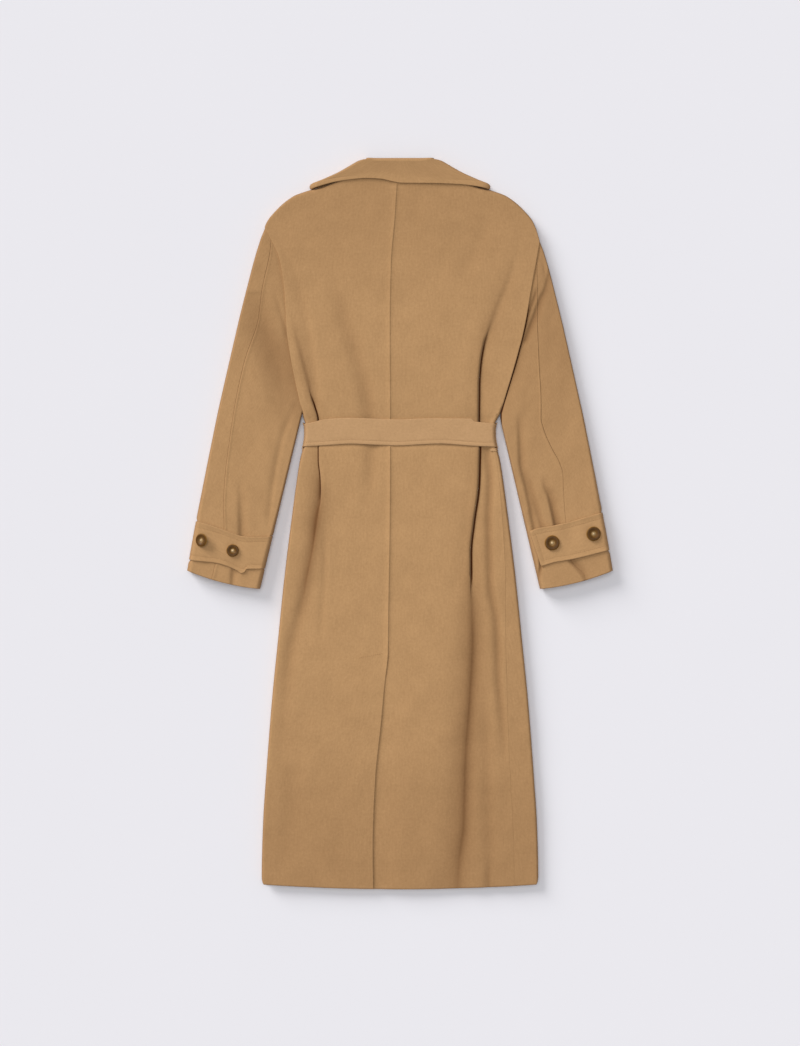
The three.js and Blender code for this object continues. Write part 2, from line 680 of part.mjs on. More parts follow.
// a thin loop at each side seam that holds the belt, drawn from above and raised to its width
function makeBeltLoop(side) {
  const past = (y) => edgeOut(side, y);
  const belt = LAYER + SEAM_GAP;
  const route = [
    { y: 116, out: past(116) + 0.6 },
    { y: 125, out: past(BELT_Y - BELT_HALF) + belt },
    { y: BELT_Y - 8, out: past(BELT_Y - BELT_HALF) + belt },
    { y: BELT_Y + 8, out: past(BELT_Y + BELT_HALF) + belt },
    { y: 176.5, out: past(BELT_Y + BELT_HALF) + belt },
  ];
  const shape = new THREE.Shape();
  route.forEach((step, n) => {
    const x = side.sign * step.out;
    if (n === 0) shape.moveTo(x, step.y);
    else shape.lineTo(x, step.y);
  });
  for (const step of [...route].reverse()) shape.lineTo(side.sign * (step.out + LOOP_THICK), step.y);
  shape.closePath();
  const geometry = new THREE.ExtrudeGeometry(shape, { depth: LOOP_WIDTH, bevelEnabled: false });
  const mesh = new THREE.Mesh(geometry, beltMaterial());
  mesh.name = `belt_loop_${side.name}`;
  mesh.position.z = LOOP_LOW_Z;
  return mesh;
}

// ---------------------------------------------------------------- lapels and collar
// a lapel is the part of the facing that turns back under its front, flat on the table
function makeLapel(side) {
  const notch = [{ out: 44, y: 531.8 }, { out: 98, y: 509 }, { out: 148, y: 482 }, { out: 112, y: 432 }];
  const point = side.name === 'right'
    ? [{ out: frontEdgeOut(BREAK_Y) + 6, y: BREAK_Y + 3 }]
    : [{ out: 42, y: 396 }, { out: 3, y: 456 }];
  const outline = [...notch, ...point];
  const shape = new THREE.Shape();
  outline.forEach((corner, n) => {
    const x = side.sign * corner.out;
    if (n === 0) shape.moveTo(x, corner.y);
    else shape.lineTo(x, corner.y);
  });
  shape.closePath();
  const geometry = new THREE.ExtrudeGeometry(shape, { depth: CLOTH, bevelEnabled: false });
  const mesh = new THREE.Mesh(geometry, woolMaterial());
  mesh.name = `lapel_${side.name}`;
  return mesh;
}

// collar fall: sections run from the leaf edge to the roll, along the collar from front to front
function makeCollarFall() {
  const c = COLLAR;
  const edge = (sign) => {
    const along = new THREE.Vector2(sign * (c.tipOut - c.foldHalf), c.tipY - c.foldY).normalize();
    return { leaf: [sign * c.tipOut, c.tipY], roll: [sign * c.foldHalf, c.foldY - c.rollOuter], along };
  };
  const wrap = (sign, angle) => {
    const { leaf, roll, along } = edge(sign);
    const outward = [-along.y * sign, along.x * sign].map((v) => Math.abs(v));
    const shift = (depth) => (c.bulge - depth) * Math.cos(angle) - c.bulge;
    const lean = Math.abs(Math.sin(angle));
    const height = (top, depth) => mix(c.edgeMiddle, angle > 0 ? top - depth : depth, lean);
    return { leaf, roll, side: [sign * outward[0], outward[1]], shift, height };
  };
  const sections = [];
  const addFront = (sign, t) => {
    const { leaf, roll } = edge(sign);
    const short = { out: sign * c.bulge * 0.4, y: c.bulge * 0.9 };
    const reach = (from, to) => [mix(from[0], to[0] - short.out, t), mix(from[1], to[1] - short.y, t)];
    sections.push({
      leaf: reach([sign * c.pointOut, c.pointY], leaf),
      roll: reach([sign * c.gorgeOut, c.gorgeY], roll),
      side: [0, 0],
      shift: () => 0,
      leafZ: (depth) => depth,
      rollZ: (depth) => depth,
      turn: -1,
    });
  };
  const addWrap = (sign, angle) => {
    const w = wrap(sign, angle);
    sections.push({
      leaf: w.leaf, roll: w.roll, side: w.side, shift: w.shift, turn: Math.sin(angle),
      leafZ: (depth) => w.height(c.leafTop, depth),
      rollZ: (depth) => w.height(c.foldTop, depth),
    });
  };
  const addBack = (t) => {
    const out = mix(-1, 1, t);
    const leafY = mix(c.middleLeafY, c.tipY - c.bulge * 0.9, Math.abs(out) ** 1.6);
    const reach = c.tipOut - c.bulge * 0.5;
    sections.push({
      leaf: [out * reach, leafY],
      roll: [out * (c.foldHalf - 3), c.foldY - c.rollOuter],
      side: [0, 0],
      shift: () => 0,
      leafZ: (depth) => c.leafTop - depth,
      rollZ: (depth) => c.foldTop - depth,
      turn: 1,
    });
  };
  const wrapAngles = [-60, -30, 0, 30, 60].map((degrees) => degrees * Math.PI / 180);
  for (const t of [0, 0.5, 0.9]) addFront(-1, t);
  for (const angle of wrapAngles) addWrap(-1, angle);
  for (const t of [0.05, 0.2, 0.35, 0.5, 0.65, 0.8, 0.95]) addBack(t);
  for (const angle of [...wrapAngles].reverse()) addWrap(1, angle);
  for (const t of [0.9, 0.5, 0]) addFront(1, t);
  const sheet = [0, 0.3, 0.65, 1];
  const turns = [40, 80, 120, 160].map((degrees) => degrees * Math.PI / 180);
  const skin = (depth) => sections.map((s) => {
    const row = [];
    const flat = (t) => {
      const shift = s.shift(depth);
      return [
        mix(s.leaf[0], s.roll[0], t) + s.side[0] * shift,
        mix(s.leaf[1], s.roll[1], t) + s.side[1] * shift,
        mix(s.leafZ(depth), s.rollZ(depth), t),
      ];
    };
    for (const t of sheet) row.push(flat(t));
    const rollDirection = new THREE.Vector2(s.roll[0] - s.leaf[0], s.roll[1] - s.leaf[1]).normalize();
    const radius = c.rollOuter - depth;
    const flatness = Math.sqrt(Math.max(0, 1 - s.turn ** 2));
    const outward = new THREE.Vector3(s.side[0] * flatness, s.side[1] * flatness, s.turn).normalize();
    const skinPoint = new THREE.Vector3(...flat(1));
    const centre = skinPoint.clone().addScaledVector(outward, -radius);
    for (const angle of turns) {
      const point = centre.clone().addScaledVector(outward, radius * Math.cos(angle));
      point.x += rollDirection.x * radius * Math.sin(angle);
      point.y += rollDirection.y * radius * Math.sin(angle);
      row.push(point.toArray());
    }
    return row;
  });
  return wall('collar_fall', woolMaterial(), skin(0), skin(CLOTH));
}

// collar stand: a plain band from the neck seam up into the roll
function makeCollarStand() {
  const s = STAND;
  const skin = (depth) => [0, 0.5, 1].map((t) => {
    const half = mix(s.lowHalf, s.highHalf, t);
    return [-1, -0.6, -0.2, 0.2, 0.6, 1].map((share) => {
      const neck = shoulderY(Math.abs(share) * s.lowHalf) + 2 * SEAM_GAP;
      return [share * half, mix(neck, s.highY, t), s.top - depth];
    });
  });
  return wall('collar_stand', woolMaterial(), skin(0), skin(CLOTH));
}

// ---------------------------------------------------------------- buttons
// a dished disc with a raised rim; its face is at the top
function buttonGeometry(radius) {
  const profile = [
    [0, 0],
    [radius * 0.8, 0],
    [radius, BUTTON_THICK * 0.4],
    [radius, BUTTON_THICK * 0.75],
    [radius * 0.88, BUTTON_THICK],
    [radius * 0.72, BUTTON_THICK * 0.9],
    [radius * 0.55, BUTTON_THICK * 0.6],
    [0, BUTTON_THICK * 0.55],
  ].map(([r, z]) => new THREE.Vector2(r, z));
  const geometry = new THREE.LatheGeometry(profile, 24);
  geometry.rotateX(Math.PI / 2);
  return geometry;
}

function makeCuffButton(row) {
  const side = SIDES[row.side];
  const [x, y, z] = sleevePoint(side, row.along, row.share, 'top', -LAYER);
  const mesh = new THREE.Mesh(buttonGeometry(CUFF_BUTTON_RADIUS), hornMaterial());
  mesh.name = row.name;
  mesh.rotation.y = row.tilt;
  const clear = CUFF_BUTTON_RADIUS * 0.8 * Math.abs(Math.sin(row.tilt));
  mesh.position.set(x, y, z + SEAM_GAP + clear);
  return mesh;
}

function makeFrontButton(sign, y, number) {
  const mesh = new THREE.Mesh(buttonGeometry(FRONT_BUTTON_RADIUS), hornMaterial());
  mesh.name = `front_button_${sign > 0 ? 'right' : 'left'}_${number}`;
  mesh.rotation.x = Math.PI;
  mesh.position.set(sign * FRONT_BUTTON_X, y, BUTTON_THICK);
  return mesh;
}

// ---------------------------------------------------------------- the coat
const group = new THREE.Group();
group.add(makeBackLeft(), makeBackRight(), makeFrontLeft(), makeFrontRight());
for (const side of [SIDES.left, SIDES.right]) {
  group.add(...makeSleeve(side), makeCuffStrap(side), makeBeltLoop(side), makeLapel(side));
}
group.add(makeBelt(), makeCollarFall(), makeCollarStand());
CUFF_BUTTONS.forEach((row) => group.add(makeCuffButton(row)));
for (const sign of [-1, 1]) {
  FRONT_BUTTON_ROWS.forEach((y, n) => group.add(makeFrontButton(sign, y, n + 1)));
}

export default group;
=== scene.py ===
"""A long double-breasted wool coat, laid face down on a table with its back up.

Lengths in the tables are millimetres and are turned into metres where a mesh is made. +X is the
wearer's right, +Y points from the hem to the collar and +Z is up off the table. Every cloth piece is a
closed shell: an outer skin and an inner skin on one grid, joined by a rounded edge.
"""
import json
import math

import bpy
import numpy as np
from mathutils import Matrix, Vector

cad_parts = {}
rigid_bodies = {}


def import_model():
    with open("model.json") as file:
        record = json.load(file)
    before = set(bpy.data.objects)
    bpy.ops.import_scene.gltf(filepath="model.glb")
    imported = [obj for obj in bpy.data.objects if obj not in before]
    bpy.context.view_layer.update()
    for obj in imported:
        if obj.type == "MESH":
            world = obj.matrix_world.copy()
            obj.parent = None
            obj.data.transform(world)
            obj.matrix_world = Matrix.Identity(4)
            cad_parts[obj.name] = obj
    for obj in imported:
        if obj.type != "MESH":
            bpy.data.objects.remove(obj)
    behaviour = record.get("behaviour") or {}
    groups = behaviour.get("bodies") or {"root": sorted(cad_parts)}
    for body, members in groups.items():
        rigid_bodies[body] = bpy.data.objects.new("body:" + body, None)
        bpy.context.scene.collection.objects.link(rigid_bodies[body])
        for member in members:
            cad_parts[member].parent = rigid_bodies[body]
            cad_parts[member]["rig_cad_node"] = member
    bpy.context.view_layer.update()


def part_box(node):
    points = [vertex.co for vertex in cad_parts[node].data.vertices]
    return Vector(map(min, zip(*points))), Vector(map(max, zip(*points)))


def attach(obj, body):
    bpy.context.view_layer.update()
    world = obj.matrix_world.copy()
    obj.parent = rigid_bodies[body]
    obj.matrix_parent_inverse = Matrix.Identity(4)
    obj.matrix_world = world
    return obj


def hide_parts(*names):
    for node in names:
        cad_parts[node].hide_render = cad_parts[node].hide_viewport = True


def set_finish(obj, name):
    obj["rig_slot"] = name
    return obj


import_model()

MM = 0.001
ROOT = "root"

# ---------------------------------------------------------------- sizes
CLOTH = 2.2  # thickness of the felted wool
LAYER = 2.8  # one layer of cloth lying on another
SEAM_ROUND = 0.3  # how round a sewn edge is, against 1 for a free one
SEAM_INSET = 0.18  # how far a panel stays back from its seam
STITCH_IN = 7.0  # from an edge to its line of stitches
# the shade mark is painted shade, multiplied into the wool's colour
SHADE_TOP = 1.2  # darkest mark of a shade; past it the cloth lies in a slit
EDGE_MIDDLE = 8.0  # height of the middle of a side edge
EDGE_ROUND = 4.0  # how far in from the side the cloth is rounded

HEM_Y = -603.2
HEM_RISE = 7.0
HEM_CORNER = 15.0
UNDERARM_Y = 182.0
BEND_FROM = 205.0  # above this the rows bend up towards the neck
OVERLAP = 90.0  # how far each front passes the middle
BREAK_Y = 310.0
ROLL_TOP = (72.0, 583.0)
LAPEL_RIDE = (152.0, 180.0)
BUTTON_RIDE = (96.0, 126.0)
BUTTON_LOW_Y = -97.0
BUTTON_RAMP = 40.0
BUTTON_THICK = 4.0

VENT_TOP_Y = -212.0
VENT_LAP = 45.0
VENT_BLEND = 45.0

BELT_Y = 152.0
BELT_HALF = 22.5
BELT_REST = 13.7  # height of the cloth the belt lies on

SLEEVE_LENGTH = 560.0
SLEEVE_WIDTH = 130.0  # on the middle of a sleeve
STRAP_WIDE = 55.0

LEFT, RIGHT = -1, 1
SIDE_NAME = {LEFT: "left", RIGHT: "right"}
TIP = {LEFT: (223.0, 487.0), RIGHT: (230.5, 466.0)}  # shoulder tip: out from the middle, y

# half width of the body below the underarm: y, half
BODY_SIDE = [
    (-604, 228.4), (-554, 228), (-488, 225.9), (-422, 221.6), (-290, 211.4), (-191, 201.5), (-84, 190.5),
    (40, 174.9), (89, 168), (109, 164.4), (122, 160.6), (129, 157.6), (135, 156.4), (142, 155.4), (148, 155),
    (156, 155),
]
BODY_HALF = {
    LEFT: BODY_SIDE + [(162, 155.6), (168, 157), (175, 159.6), (182, 161)],
    RIGHT: BODY_SIDE + [(162, 155.8), (168, 158), (175, 161.6), (182, 165.8)],
}
# armhole seams: y, out from the middle
ARMHOLE = {
    LEFT: [(182, 161), (221, 170), (271, 180), (320, 187.1), (370, 189.8), (403, 193.1), (439, 199.7),
           (475, 216.2), (487, 223)],
    RIGHT: [(182, 165.8), (213, 174.6), (244, 184), (284, 195.4), (315, 203.4), (345, 209.4),
            (372, 213.6), (400, 218.6), (440, 226), (466, 230.5)],
}
# neck and shoulder line: out from the middle, y
SHOULDER = [
    (0, 569), (85, 571), (128, 556.5), (140, 553.2), (150, 550.8), (160, 547.6), (173.3, 542.6), (185, 535.2),
    (196.4, 525.9), (207, 515.2), (217.8, 502), (224, 489), (231, 466),
]
# centre back seam down to the vent, then the vent's free edge: y, x
CENTRE_BACK = [
    (-604, -43.9), (-533, -44.6), (-422, -40.6), (-323, -30.5), (-276, -26.4), (-210, -19.6), (-148, -18.8),
    (3, -16.4), (129, -15.8), (331, -16.2), (432, -14.2), (507, -8), (575, -4),
]
# how far the side seams lie in from the side edge, on top at the right and beneath at the left: y, inset
SIDE_SEAM = [(-604, 40), (-480, 40), (-340, 37), (-190, 27), (-60, 15), (60, 8), (182, 4)]
# height of the back off the table: y, z
BACK_HEIGHT = [
    (-604, 13), (-500, 14.5), (-250, 15.5), (0, 16), (100, 15.9), (124, 15.4), (133, 13.8), (171, 13.8),
    (182, 15), (205, 16), (260, 17), (400, 17.5), (570, 16),
]

# Folds. Each row of a line is y, x, drop; drop is how far the cloth falls at the fold. The cloth falls
# over "steep" millimetres on its high side and climbs back over "soft" on its low side (low is +1 to the
# right, -1 to the left), and "dim" is how much shade is painted on it. A fold with "over" turns between those
# two heights from a pressed pleat, whose high side hangs over a slit painted dark, into an open one. There
# each row of "shade" is y and how much shade is painted on the low and the high side at the fold, "reach" is
# how far in from it that fades on either side, and "gap" is how wide the painted slit shows.
BODY_FOLDS = [
    {"line": [(160, 131.5, 3), (175, 131.5, 3), (228, 131.9, 3), (263, 134.3, 3), (292, 139, 2.8),
              (322, 147.3, 2.2), (357, 159, 1.6), (392, 173.4, 1.2), (416, 182, 0.8), (480, 196, 0)],
     "steep": 6, "soft": 30, "low": 1, "over": (284, 334), "gap": 2.1,
     "shade": [(160, 0.2, 0.26), (263, 0.2, 0.26), (292, 0.2, 0.26), (322, 0.3, 0.34), (357, 0.2, 0.24),
               (392, 0.08, 0.1), (430, 0, 0)], "reach": (26, 8)},
    {"line": [(-603, 94, 0.6), (-561, 96, 0.8), (-530, 100, 1.1), (-498, 104, 1.4), (-389, 107.2, 1.5),
              (-290, 114.2, 1.6), (-191, 119.6, 1.8), (-142, 118.8, 2.4), (-48, 118, 3), (3, 123.2, 3.2),
              (53, 130.2, 3.2), (73, 131.6, 3.2), (125, 133, 3.2), (145, 133.4, 3.2)],
     "steep": 8, "soft": 24, "low": 1, "over": (-75, -130), "gap": 2.7,
     "shade": [(-603, 0.4, 0.3), (-488, 0.74, 0.5), (-389, 0.78, 0.56), (-290, 0.95, 0.72),
               (-191, 0.95, 0.82), (-125, 0.66, 0.6), (-59, 0.2, 0.36), (3, 0.1, 0.3),
               (145, 0.14, 0.3)], "reach": (9, 12)},
    {"line": [(-400, 172, 0), (-340, 170, 1.4), (-257, 163, 2.4), (-165, 160, 2.6), (-102, 149.5, 2.8),
              (7, 147, 3), (73, 149, 2.8), (114, 143.8, 2.6), (125, 142, 2.2)],
     "steep": 7, "soft": 6, "low": 1, "dim": 0.13},
    {"line": [(160, -134, 2.4), (172, -134.2, 2.4), (196, -140.2, 2.4), (213, -146.3, 2.2), (238, -152.8, 2),
              (266, -160, 1.8), (310, -171, 1), (350, -180, 0)],
     "steep": 5, "soft": 18, "low": 1, "over": (196, 228), "gap": 1.9,
     "shade": [(160, 0.1, 0.24), (185, 0.12, 0.26), (205, 0.5, 0.3), (238, 0.5, 0.4), (310, 0.2, 0.2),
               (350, 0, 0)], "reach": (7, 6)},
    {"line": [(-160, -166, 0), (-124, -160, 0.9), (-92, -154.6, 1.5), (-62, -148.5, 2), (-35, -143.4, 2.4),
              (6, -137.8, 2.8), (38, -132.6, 3), (56, -131.9, 3), (78, -132.6, 2.6), (106, -135.6, 1.4),
              (145, -136, 1.2)],
     "steep": 5, "soft": 15, "low": -1, "over": (56, 22), "gap": 1.5,
     "shade": [(-160, 0, 0), (-124, 0.4, 0.34), (-92, 0.85, 0.75), (-35, 1.15, 0.95), (6, 1.5, 1.15),
               (40, 1.3, 0.6), (62, 1.15, 0.35), (90, 0.4, 0.06), (106, 0.3, 0.06), (145, 0.2, 0.04)],
     "reach": (8, 8)},
    {"line": [(160, -136, 1), (204.6, -138.6, 1.4), (262, -143.6, 1.8), (320, -151.8, 1.6), (394, -166, 1.1),
              (483, -203, 0)],
     "steep": 6, "soft": 14, "low": -1},
    {"line": [(-420, -200, 0), (-300, -190, 1.2), (-208, -180, 2.4), (-153, -166, 2.6), (-100, -153, 1.4),
              (-50, -146, 0)],
     "steep": 12, "soft": 10, "low": -1, "dim": 0.09},
    {"line": [(-603, 92, 1.4), (-498, 102, 2.6), (-361, 109, 3), (-193, 119, 2.2), (-48, 118, 0.6),
              (53, 129.6, 0.4), (145, 132, 0.4)],
     "steep": 28, "soft": 18, "low": 1, "dim": 0.05},
    {"line": [(160, 130, 0.8), (263, 133, 1), (322, 146.7, 1.2), (392, 173, 1), (440, 188, 0)],
     "steep": 16, "soft": 12, "low": 1, "dim": 0.05},
    {"line": [(-200, -131, 0), (-155, -129, 0.9), (-63, -124, 1.1), (7, -124, 0)],
     "steep": 5, "soft": 5, "low": 1},
    {"line": [(-603, 145, 1.8), (-590, 145, 1.8), (-555, 146, 0)],
     "steep": 3, "soft": 3, "low": 1, "dim": 0.12},
    {"line": [(160, -48, 2.6), (204, -53, 2.8), (270, -69, 2.4), (337, -90, 1.8), (410, -112, 0)],
     "steep": 14, "soft": 12, "low": 1, "dim": 0.09},
    {"line": [(20, -50, 0), (90, -48, 1.8), (135, -46, 2.6)],
     "steep": 12, "soft": 12, "low": 1, "dim": 0.08},
    {"line": [(-560, -190, 0), (-450, -180, 1.4), (-330, -176, 0)],
     "steep": 16, "soft": 22, "low": 1},
    {"line": [(-600, 152, 1), (-480, 146, 1.8), (-330, 142, 1.4), (-250, 140, 0)],
     "steep": 12, "soft": 10, "low": 1, "dim": 0.08},
    {"line": [(360, 96, 0), (440, 120, 0.9), (520, 150, 0)],
     "steep": 14, "soft": 16, "low": 1},
]
# places in the list of the long pressed folds above and below the belt
UPPER_RIGHT, LOWER_RIGHT, UPPER_LEFT, LOWER_LEFT = 0, 1, 3, 4
# painted shade along the coat, heavier towards the neck and the hem: y, amount
BODY_PAINTED_SHADE = [
    (-603, 0.27), (-538, 0.25), (-455, 0.2), (-373, 0.08), (-290, 0.03), (-200, 0), (336, 0), (402, 0.07),
    (468, 0.14), (535, 0.19), (603, 0.2),
]
# the strip past the long fold on the right lies lower and gets painted shade: y, amount
STRIP_PAINTED_SHADE = [(-603, 0.02), (-455, 0.06), (-290, 0.12), (-60, 0.1), (60, 0.03), (130, 0)]
# painted shade along each sleeve: y, amount
SLEEVE_PAINTED_SHADE = {
    LEFT: [(-110, 0.06), (100, 0.05), (250, 0.06), (400, 0.16), (480, 0.2)],
    RIGHT: [(-110, 0.1), (100, 0.12), (200, 0.17), (270, 0.24), (340, 0.3), (460, 0.26)],
}
# folds of the sleeves, given as those of the body
SLEEVE_FOLDS = {
    LEFT: [
        {"line": [(110, -172, 0), (160, -180, 1.4), (204, -191, 2.8), (235, -198, 4), (270, -206, 5),
                  (305, -217, 4.8), (337, -229, 3.4), (380, -240, 1)],
         "steep": 17, "soft": 26, "low": -1, "dim": 0.085},
        {"line": [(300, -184, 0), (315, -186.5, 1.4), (340, -193, 1.4), (386, -207.9, 0)],
         "steep": 3, "soft": 5, "low": -1},
        {"line": [(-10, -217, 0), (20, -214.5, 1.1), (84, -205.4, 1.5), (140, -193.9, 1.5), (196, -172, 0.8)],
         "steep": 3, "soft": 6, "low": -1},
        {"line": [(-30, -260, 3.6), (-18, -260.7, 3.6), (39.6, -262, 1.8), (80, -264, 0)],
         "steep": 5, "soft": 9, "low": 1},
        {"line": [(-110, -275.6, 2.2), (-97, -275.6, 2.4), (-74, -273.9, 2.6), (-60, -273, 2.6)],
         "steep": 4, "soft": 7, "low": 1},
    ],
    RIGHT: [
        {"line": [(300, 205, 1.4), (318.5, 211.9, 1.8), (337, 219.5, 2), (370, 231, 1.8), (386, 239.4, 1.6),
                  (419, 247.3, 1), (430, 250, 0)],
         "steep": 3, "soft": 8, "low": 1, "dim": 0.19},
        {"line": [(340, 208, 0), (350, 212.6, 1.2), (369, 220.3, 1.6), (391, 227.9, 0)],
         "steep": 2.4, "soft": 3, "low": 1, "dim": 0.2},
        {"line": [(399, 239.7, 0), (421, 238.4, 1), (441, 227.7, 0)],
         "steep": 3, "soft": 3, "low": 1},
        {"line": [(-12, 223, 3.2), (61, 209.2, 3.2), (102.3, 199.7, 2.8), (153.5, 197.7, 1.8), (185, 196, 0)],
         "steep": 4, "soft": 8, "low": 1, "dim": 0.09},
        {"line": [(-8, 235, 2.8), (54.5, 217.8, 1.6), (80, 212, 0)],
         "steep": 4, "soft": 6, "low": 1, "dim": 0.12},
        {"line": [(-8, 258, 4.4), (0, 256.4, 4.4), (46.2, 245.9, 3.2), (61, 239.3, 1.8), (80, 235, 0)],
         "steep": 3, "soft": 9, "low": 1, "dim": 0.12},
        {"line": [(20, 207, 0), (32.2, 203.3, 1.2), (69.3, 191.4, 1.2), (90, 186, 0)],
         "steep": 3, "soft": 4, "low": 1},
        {"line": [(-112, 312, 1.2), (-86.8, 303.4, 2), (-58.7, 280.3, 2.6), (-50, 273, 2.6)],
         "steep": 4, "soft": 8, "low": 1, "dim": 0.18},
        {"line": [(-97, 226, 0), (-81, 228.8, 1.6), (-70, 231.5, 2), (-60, 232, 2)],
         "steep": 2.5, "soft": 4, "low": 1, "dim": 0.36},
    ],
}

# sleeve: cuff corners out from the middle, y; the edges run straight there from the armhole
CUFF_INNER = (231.0, -107.3)
CUFF_OUTER = (351.5, -77.2)
SLEEVE_BOW = [(0, 0), (0.03, 3), (0.09, 5.7), (0.15, 6.9), (0.27, 8.5), (0.5, 8.9), (0.63, 7.6), (0.78, 5.2),
              (0.88, 3.5), (1, 0)]  # how far the outer edge bows out: along, out
CUFF_SAG = 4.9  # how far the middle of the cuff hangs below a line between its corners
FOREARM_SEAM = 0.22  # share across the underside
# a sleeve's heights off the table and the width of its rounded edges, from the armhole: along, top,
# middle, round
SLEEVE_FORM = [
    (0, 16.2, 8, 4.5), (0.12, 16.4, 8, 4.5), (0.6, 17, 8, 5), (0.8, 19, 9.5, 7), (1, 20, 10, 8),
]
# hind seams: y, x
HIND_SEAM = {
    LEFT: [(-100, -312), (-90.8, -310.4), (-64.4, -304.1), (-1.65, -289.9), (28, -290.9), (72.6, -288.8),
           (128.7, -282.2), (204.6, -270.6), (270.6, -255.8), (336.6, -234.3), (386.1, -227.7),
           (448.8, -214.5), (475, -212)],
    RIGHT: [(-100, 306), (-86.8, 304.9), (-58.7, 281.3), (5.8, 273.2), (57.8, 269.6), (83, 268.6), (104, 262),
            (122.1, 252), (155.9, 237.2), (174.9, 232.7), (199.7, 232.7), (265.7, 229.4), (336.6, 226.7),
            (430, 226)],
}


# ---------------------------------------------------------------- small helpers
def smooth(t):
    """0 below 0, 1 above 1, and 3t^2 - 2t^3 between."""
    t = np.clip(t, 0, 1)
    return t * t * (3 - 2 * t)


def quarter(t):
    """A quarter of a circle: 0 at t = 0, 1 from t = 1 on."""
    return np.sqrt(np.maximum(0, 1 - (1 - np.clip(t, 0, 1)) ** 2))


def mix(a, b, t):
    """a at t = 0, b at t = 1 and a straight line between."""
    return a + (b - a) * t


def curve(rows, at, column=1):
    """A smooth line through (key, value) rows that never overshoots them, flat beyond its ends."""
    table = np.array(sorted(rows), float)
    x, y = table[:, 0], table[:, column]
    step = np.diff(x)
    rise = np.diff(y) / step
    slope = np.empty(len(x))
    slope[0], slope[-1] = rise[0], rise[-1]
    before, after = rise[:-1], rise[1:]
    weight = (step[:-1] + 2 * step[1:], 2 * step[:-1] + step[1:])
    same = before * after > 0
    safe = np.where(same, weight[0] / np.where(same, after, 1) + weight[1] / np.where(same, before, 1), 1)
    slope[1:-1] = np.where(same, (weight[0] + weight[1]) / safe, 0)
    at = np.clip(at, x[0], x[-1])
    i = np.clip(np.searchsorted(x, at, side="right") - 1, 0, len(x) - 2)
    t = (at - x[i]) / step[i]
    return (
        (2 * t**3 - 3 * t**2 + 1) * y[i] + (t**3 - 2 * t**2 + t) * step[i] * slope[i]
        + (3 * t**2 - 2 * t**3) * y[i + 1] + (t**3 - t**2) * step[i] * slope[i + 1]
    )


def drift(x, y, seed, wavelength):
    """A gentle unevenness between about -1 and 1: a sum of plane waves in seeded directions."""
    draw = np.random.default_rng(seed)
    total = np.zeros(np.broadcast(x, y).shape)
    waves = 9
    for angle, phase, stretch in zip(draw.uniform(0, math.pi, waves), draw.uniform(0, 6.3, waves),
                                     draw.uniform(0.7, 1.5, waves)):
        turn = 2 * math.pi / (wavelength * stretch)
        total += np.sin(turn * (x * math.cos(angle) + y * math.sin(angle)) + phase)
    return total / math.sqrt(waves)


def steps(count, low=0.0, high=0.0, reach=0.1):
    """count + 1 shares from 0 to 1, closer together near 0 by low and near 1 by high."""
    t = (np.arange(count) + 0.5) / count
    gap = 1 - low * np.exp(-t / reach) - high * np.exp(-(1 - t) / reach)
    total = np.concatenate([[0], np.cumsum(gap)])
    return total / total[-1]


def across(spans):
    """Columns of a panel: for each span between two lines, the line's number and the shares."""
    lines, shares = [], []
    for number, share in enumerate(spans):
        keep = share if number == len(spans) - 1 else share[:-1]
        lines.append(np.full(len(keep), number))
        shares.append(keep)
    return np.concatenate(lines), np.concatenate(shares)


def apply_folds(x, y, z, folds, amount, lowered):
    """Lets the cloth fall at each fold, and tells how much shade to paint there and where a slit is painted
    dark.

    Across a fold the cloth goes down from its high side in an S and climbs back over its low side. Where
    the fold is pressed the S leans over the low side. lowered is for the inner skin, which stays below."""
    shifted = x
    shade = np.zeros(z.shape)
    slit = np.zeros(z.shape)
    for fold in folds:
        line = fold["line"]
        keys = [row[0] for row in line]
        ends = smooth((y - min(keys) + 3) / 3) * smooth((max(keys) + 3 - y) / 3)
        drop = curve(line, y, 2) * amount * ends
        lean = (curve(line, y + 1) - curve(line, y - 1)) / 2
        away = (x - curve(line, y)) / np.sqrt(1 + lean**2) * fold["low"]
        steep, soft = fold["steep"], fold["soft"]
        if "over" not in fold:
            fall = np.exp(-((away / np.where(away > 0, soft, steep)) ** 2))
            z = z - drop * fall
            # painted shade in an open fold, more where it falls further
            shade += fold.get("dim", 0.06) * drop * fall
            continue
        start, end = fold["over"]
        pressed = smooth((y - end) / (start - end))
        width = mix(steep, 2.2, pressed)
        away = away + (0.75 * width + 0.85) * pressed
        behind, ahead = np.maximum(away - 2 * pressed, 0), np.maximum(-away, 0)
        valley = 0.65 * np.exp(-((behind / soft) ** 2)) + 0.35 * np.exp(-behind / (0.22 * soft))
        turn = np.clip(away / width + (0.8 if lowered else 0), -1, 1)
        z = z - drop * smooth((turn + 1) / 2) * valley
        crown = np.where(away < 0, np.exp(-(((away + 2.2 * width) / (2.2 * width)) ** 2)),
                         np.exp(-1.0) * (1 - smooth(away / width)))
        z = z + 0.2 * drop * crown
        # painted shade on the high and low sides of a pressed fold, and where its slit is painted dark
        low_reach, high_reach = fold["reach"]
        low_shade, high_shade = curve(fold["shade"], y, 1), curve(fold["shade"], y, 2)
        over_line = smooth((away + 2) / 4)
        shade += amount * ends * mix(high_shade * np.exp(-ahead / high_reach),
                                     low_shade * np.exp(-behind / low_reach), over_line)
        cut = smooth((away - 0.2) / 0.6) * smooth((1.5 + fold["gap"] - away) / 0.8)
        slit = np.maximum(slit, pressed * smooth(drop / 2) * cut)
        if not lowered:
            hang = pressed * smooth(drop / 2) * width
            shifted = shifted - fold["low"] * hang * np.sin(np.pi * turn) * (np.abs(turn) < 1)
    return shifted, z, shade, slit


def painted_shade_level(shade, slit):
    """One number for how much shade is painted on the wool: up to SHADE_TOP in a shade, from there to 2 in
    the dark of a slit.
    """
    return np.maximum(np.minimum(shade, SHADE_TOP), 2 * slit)


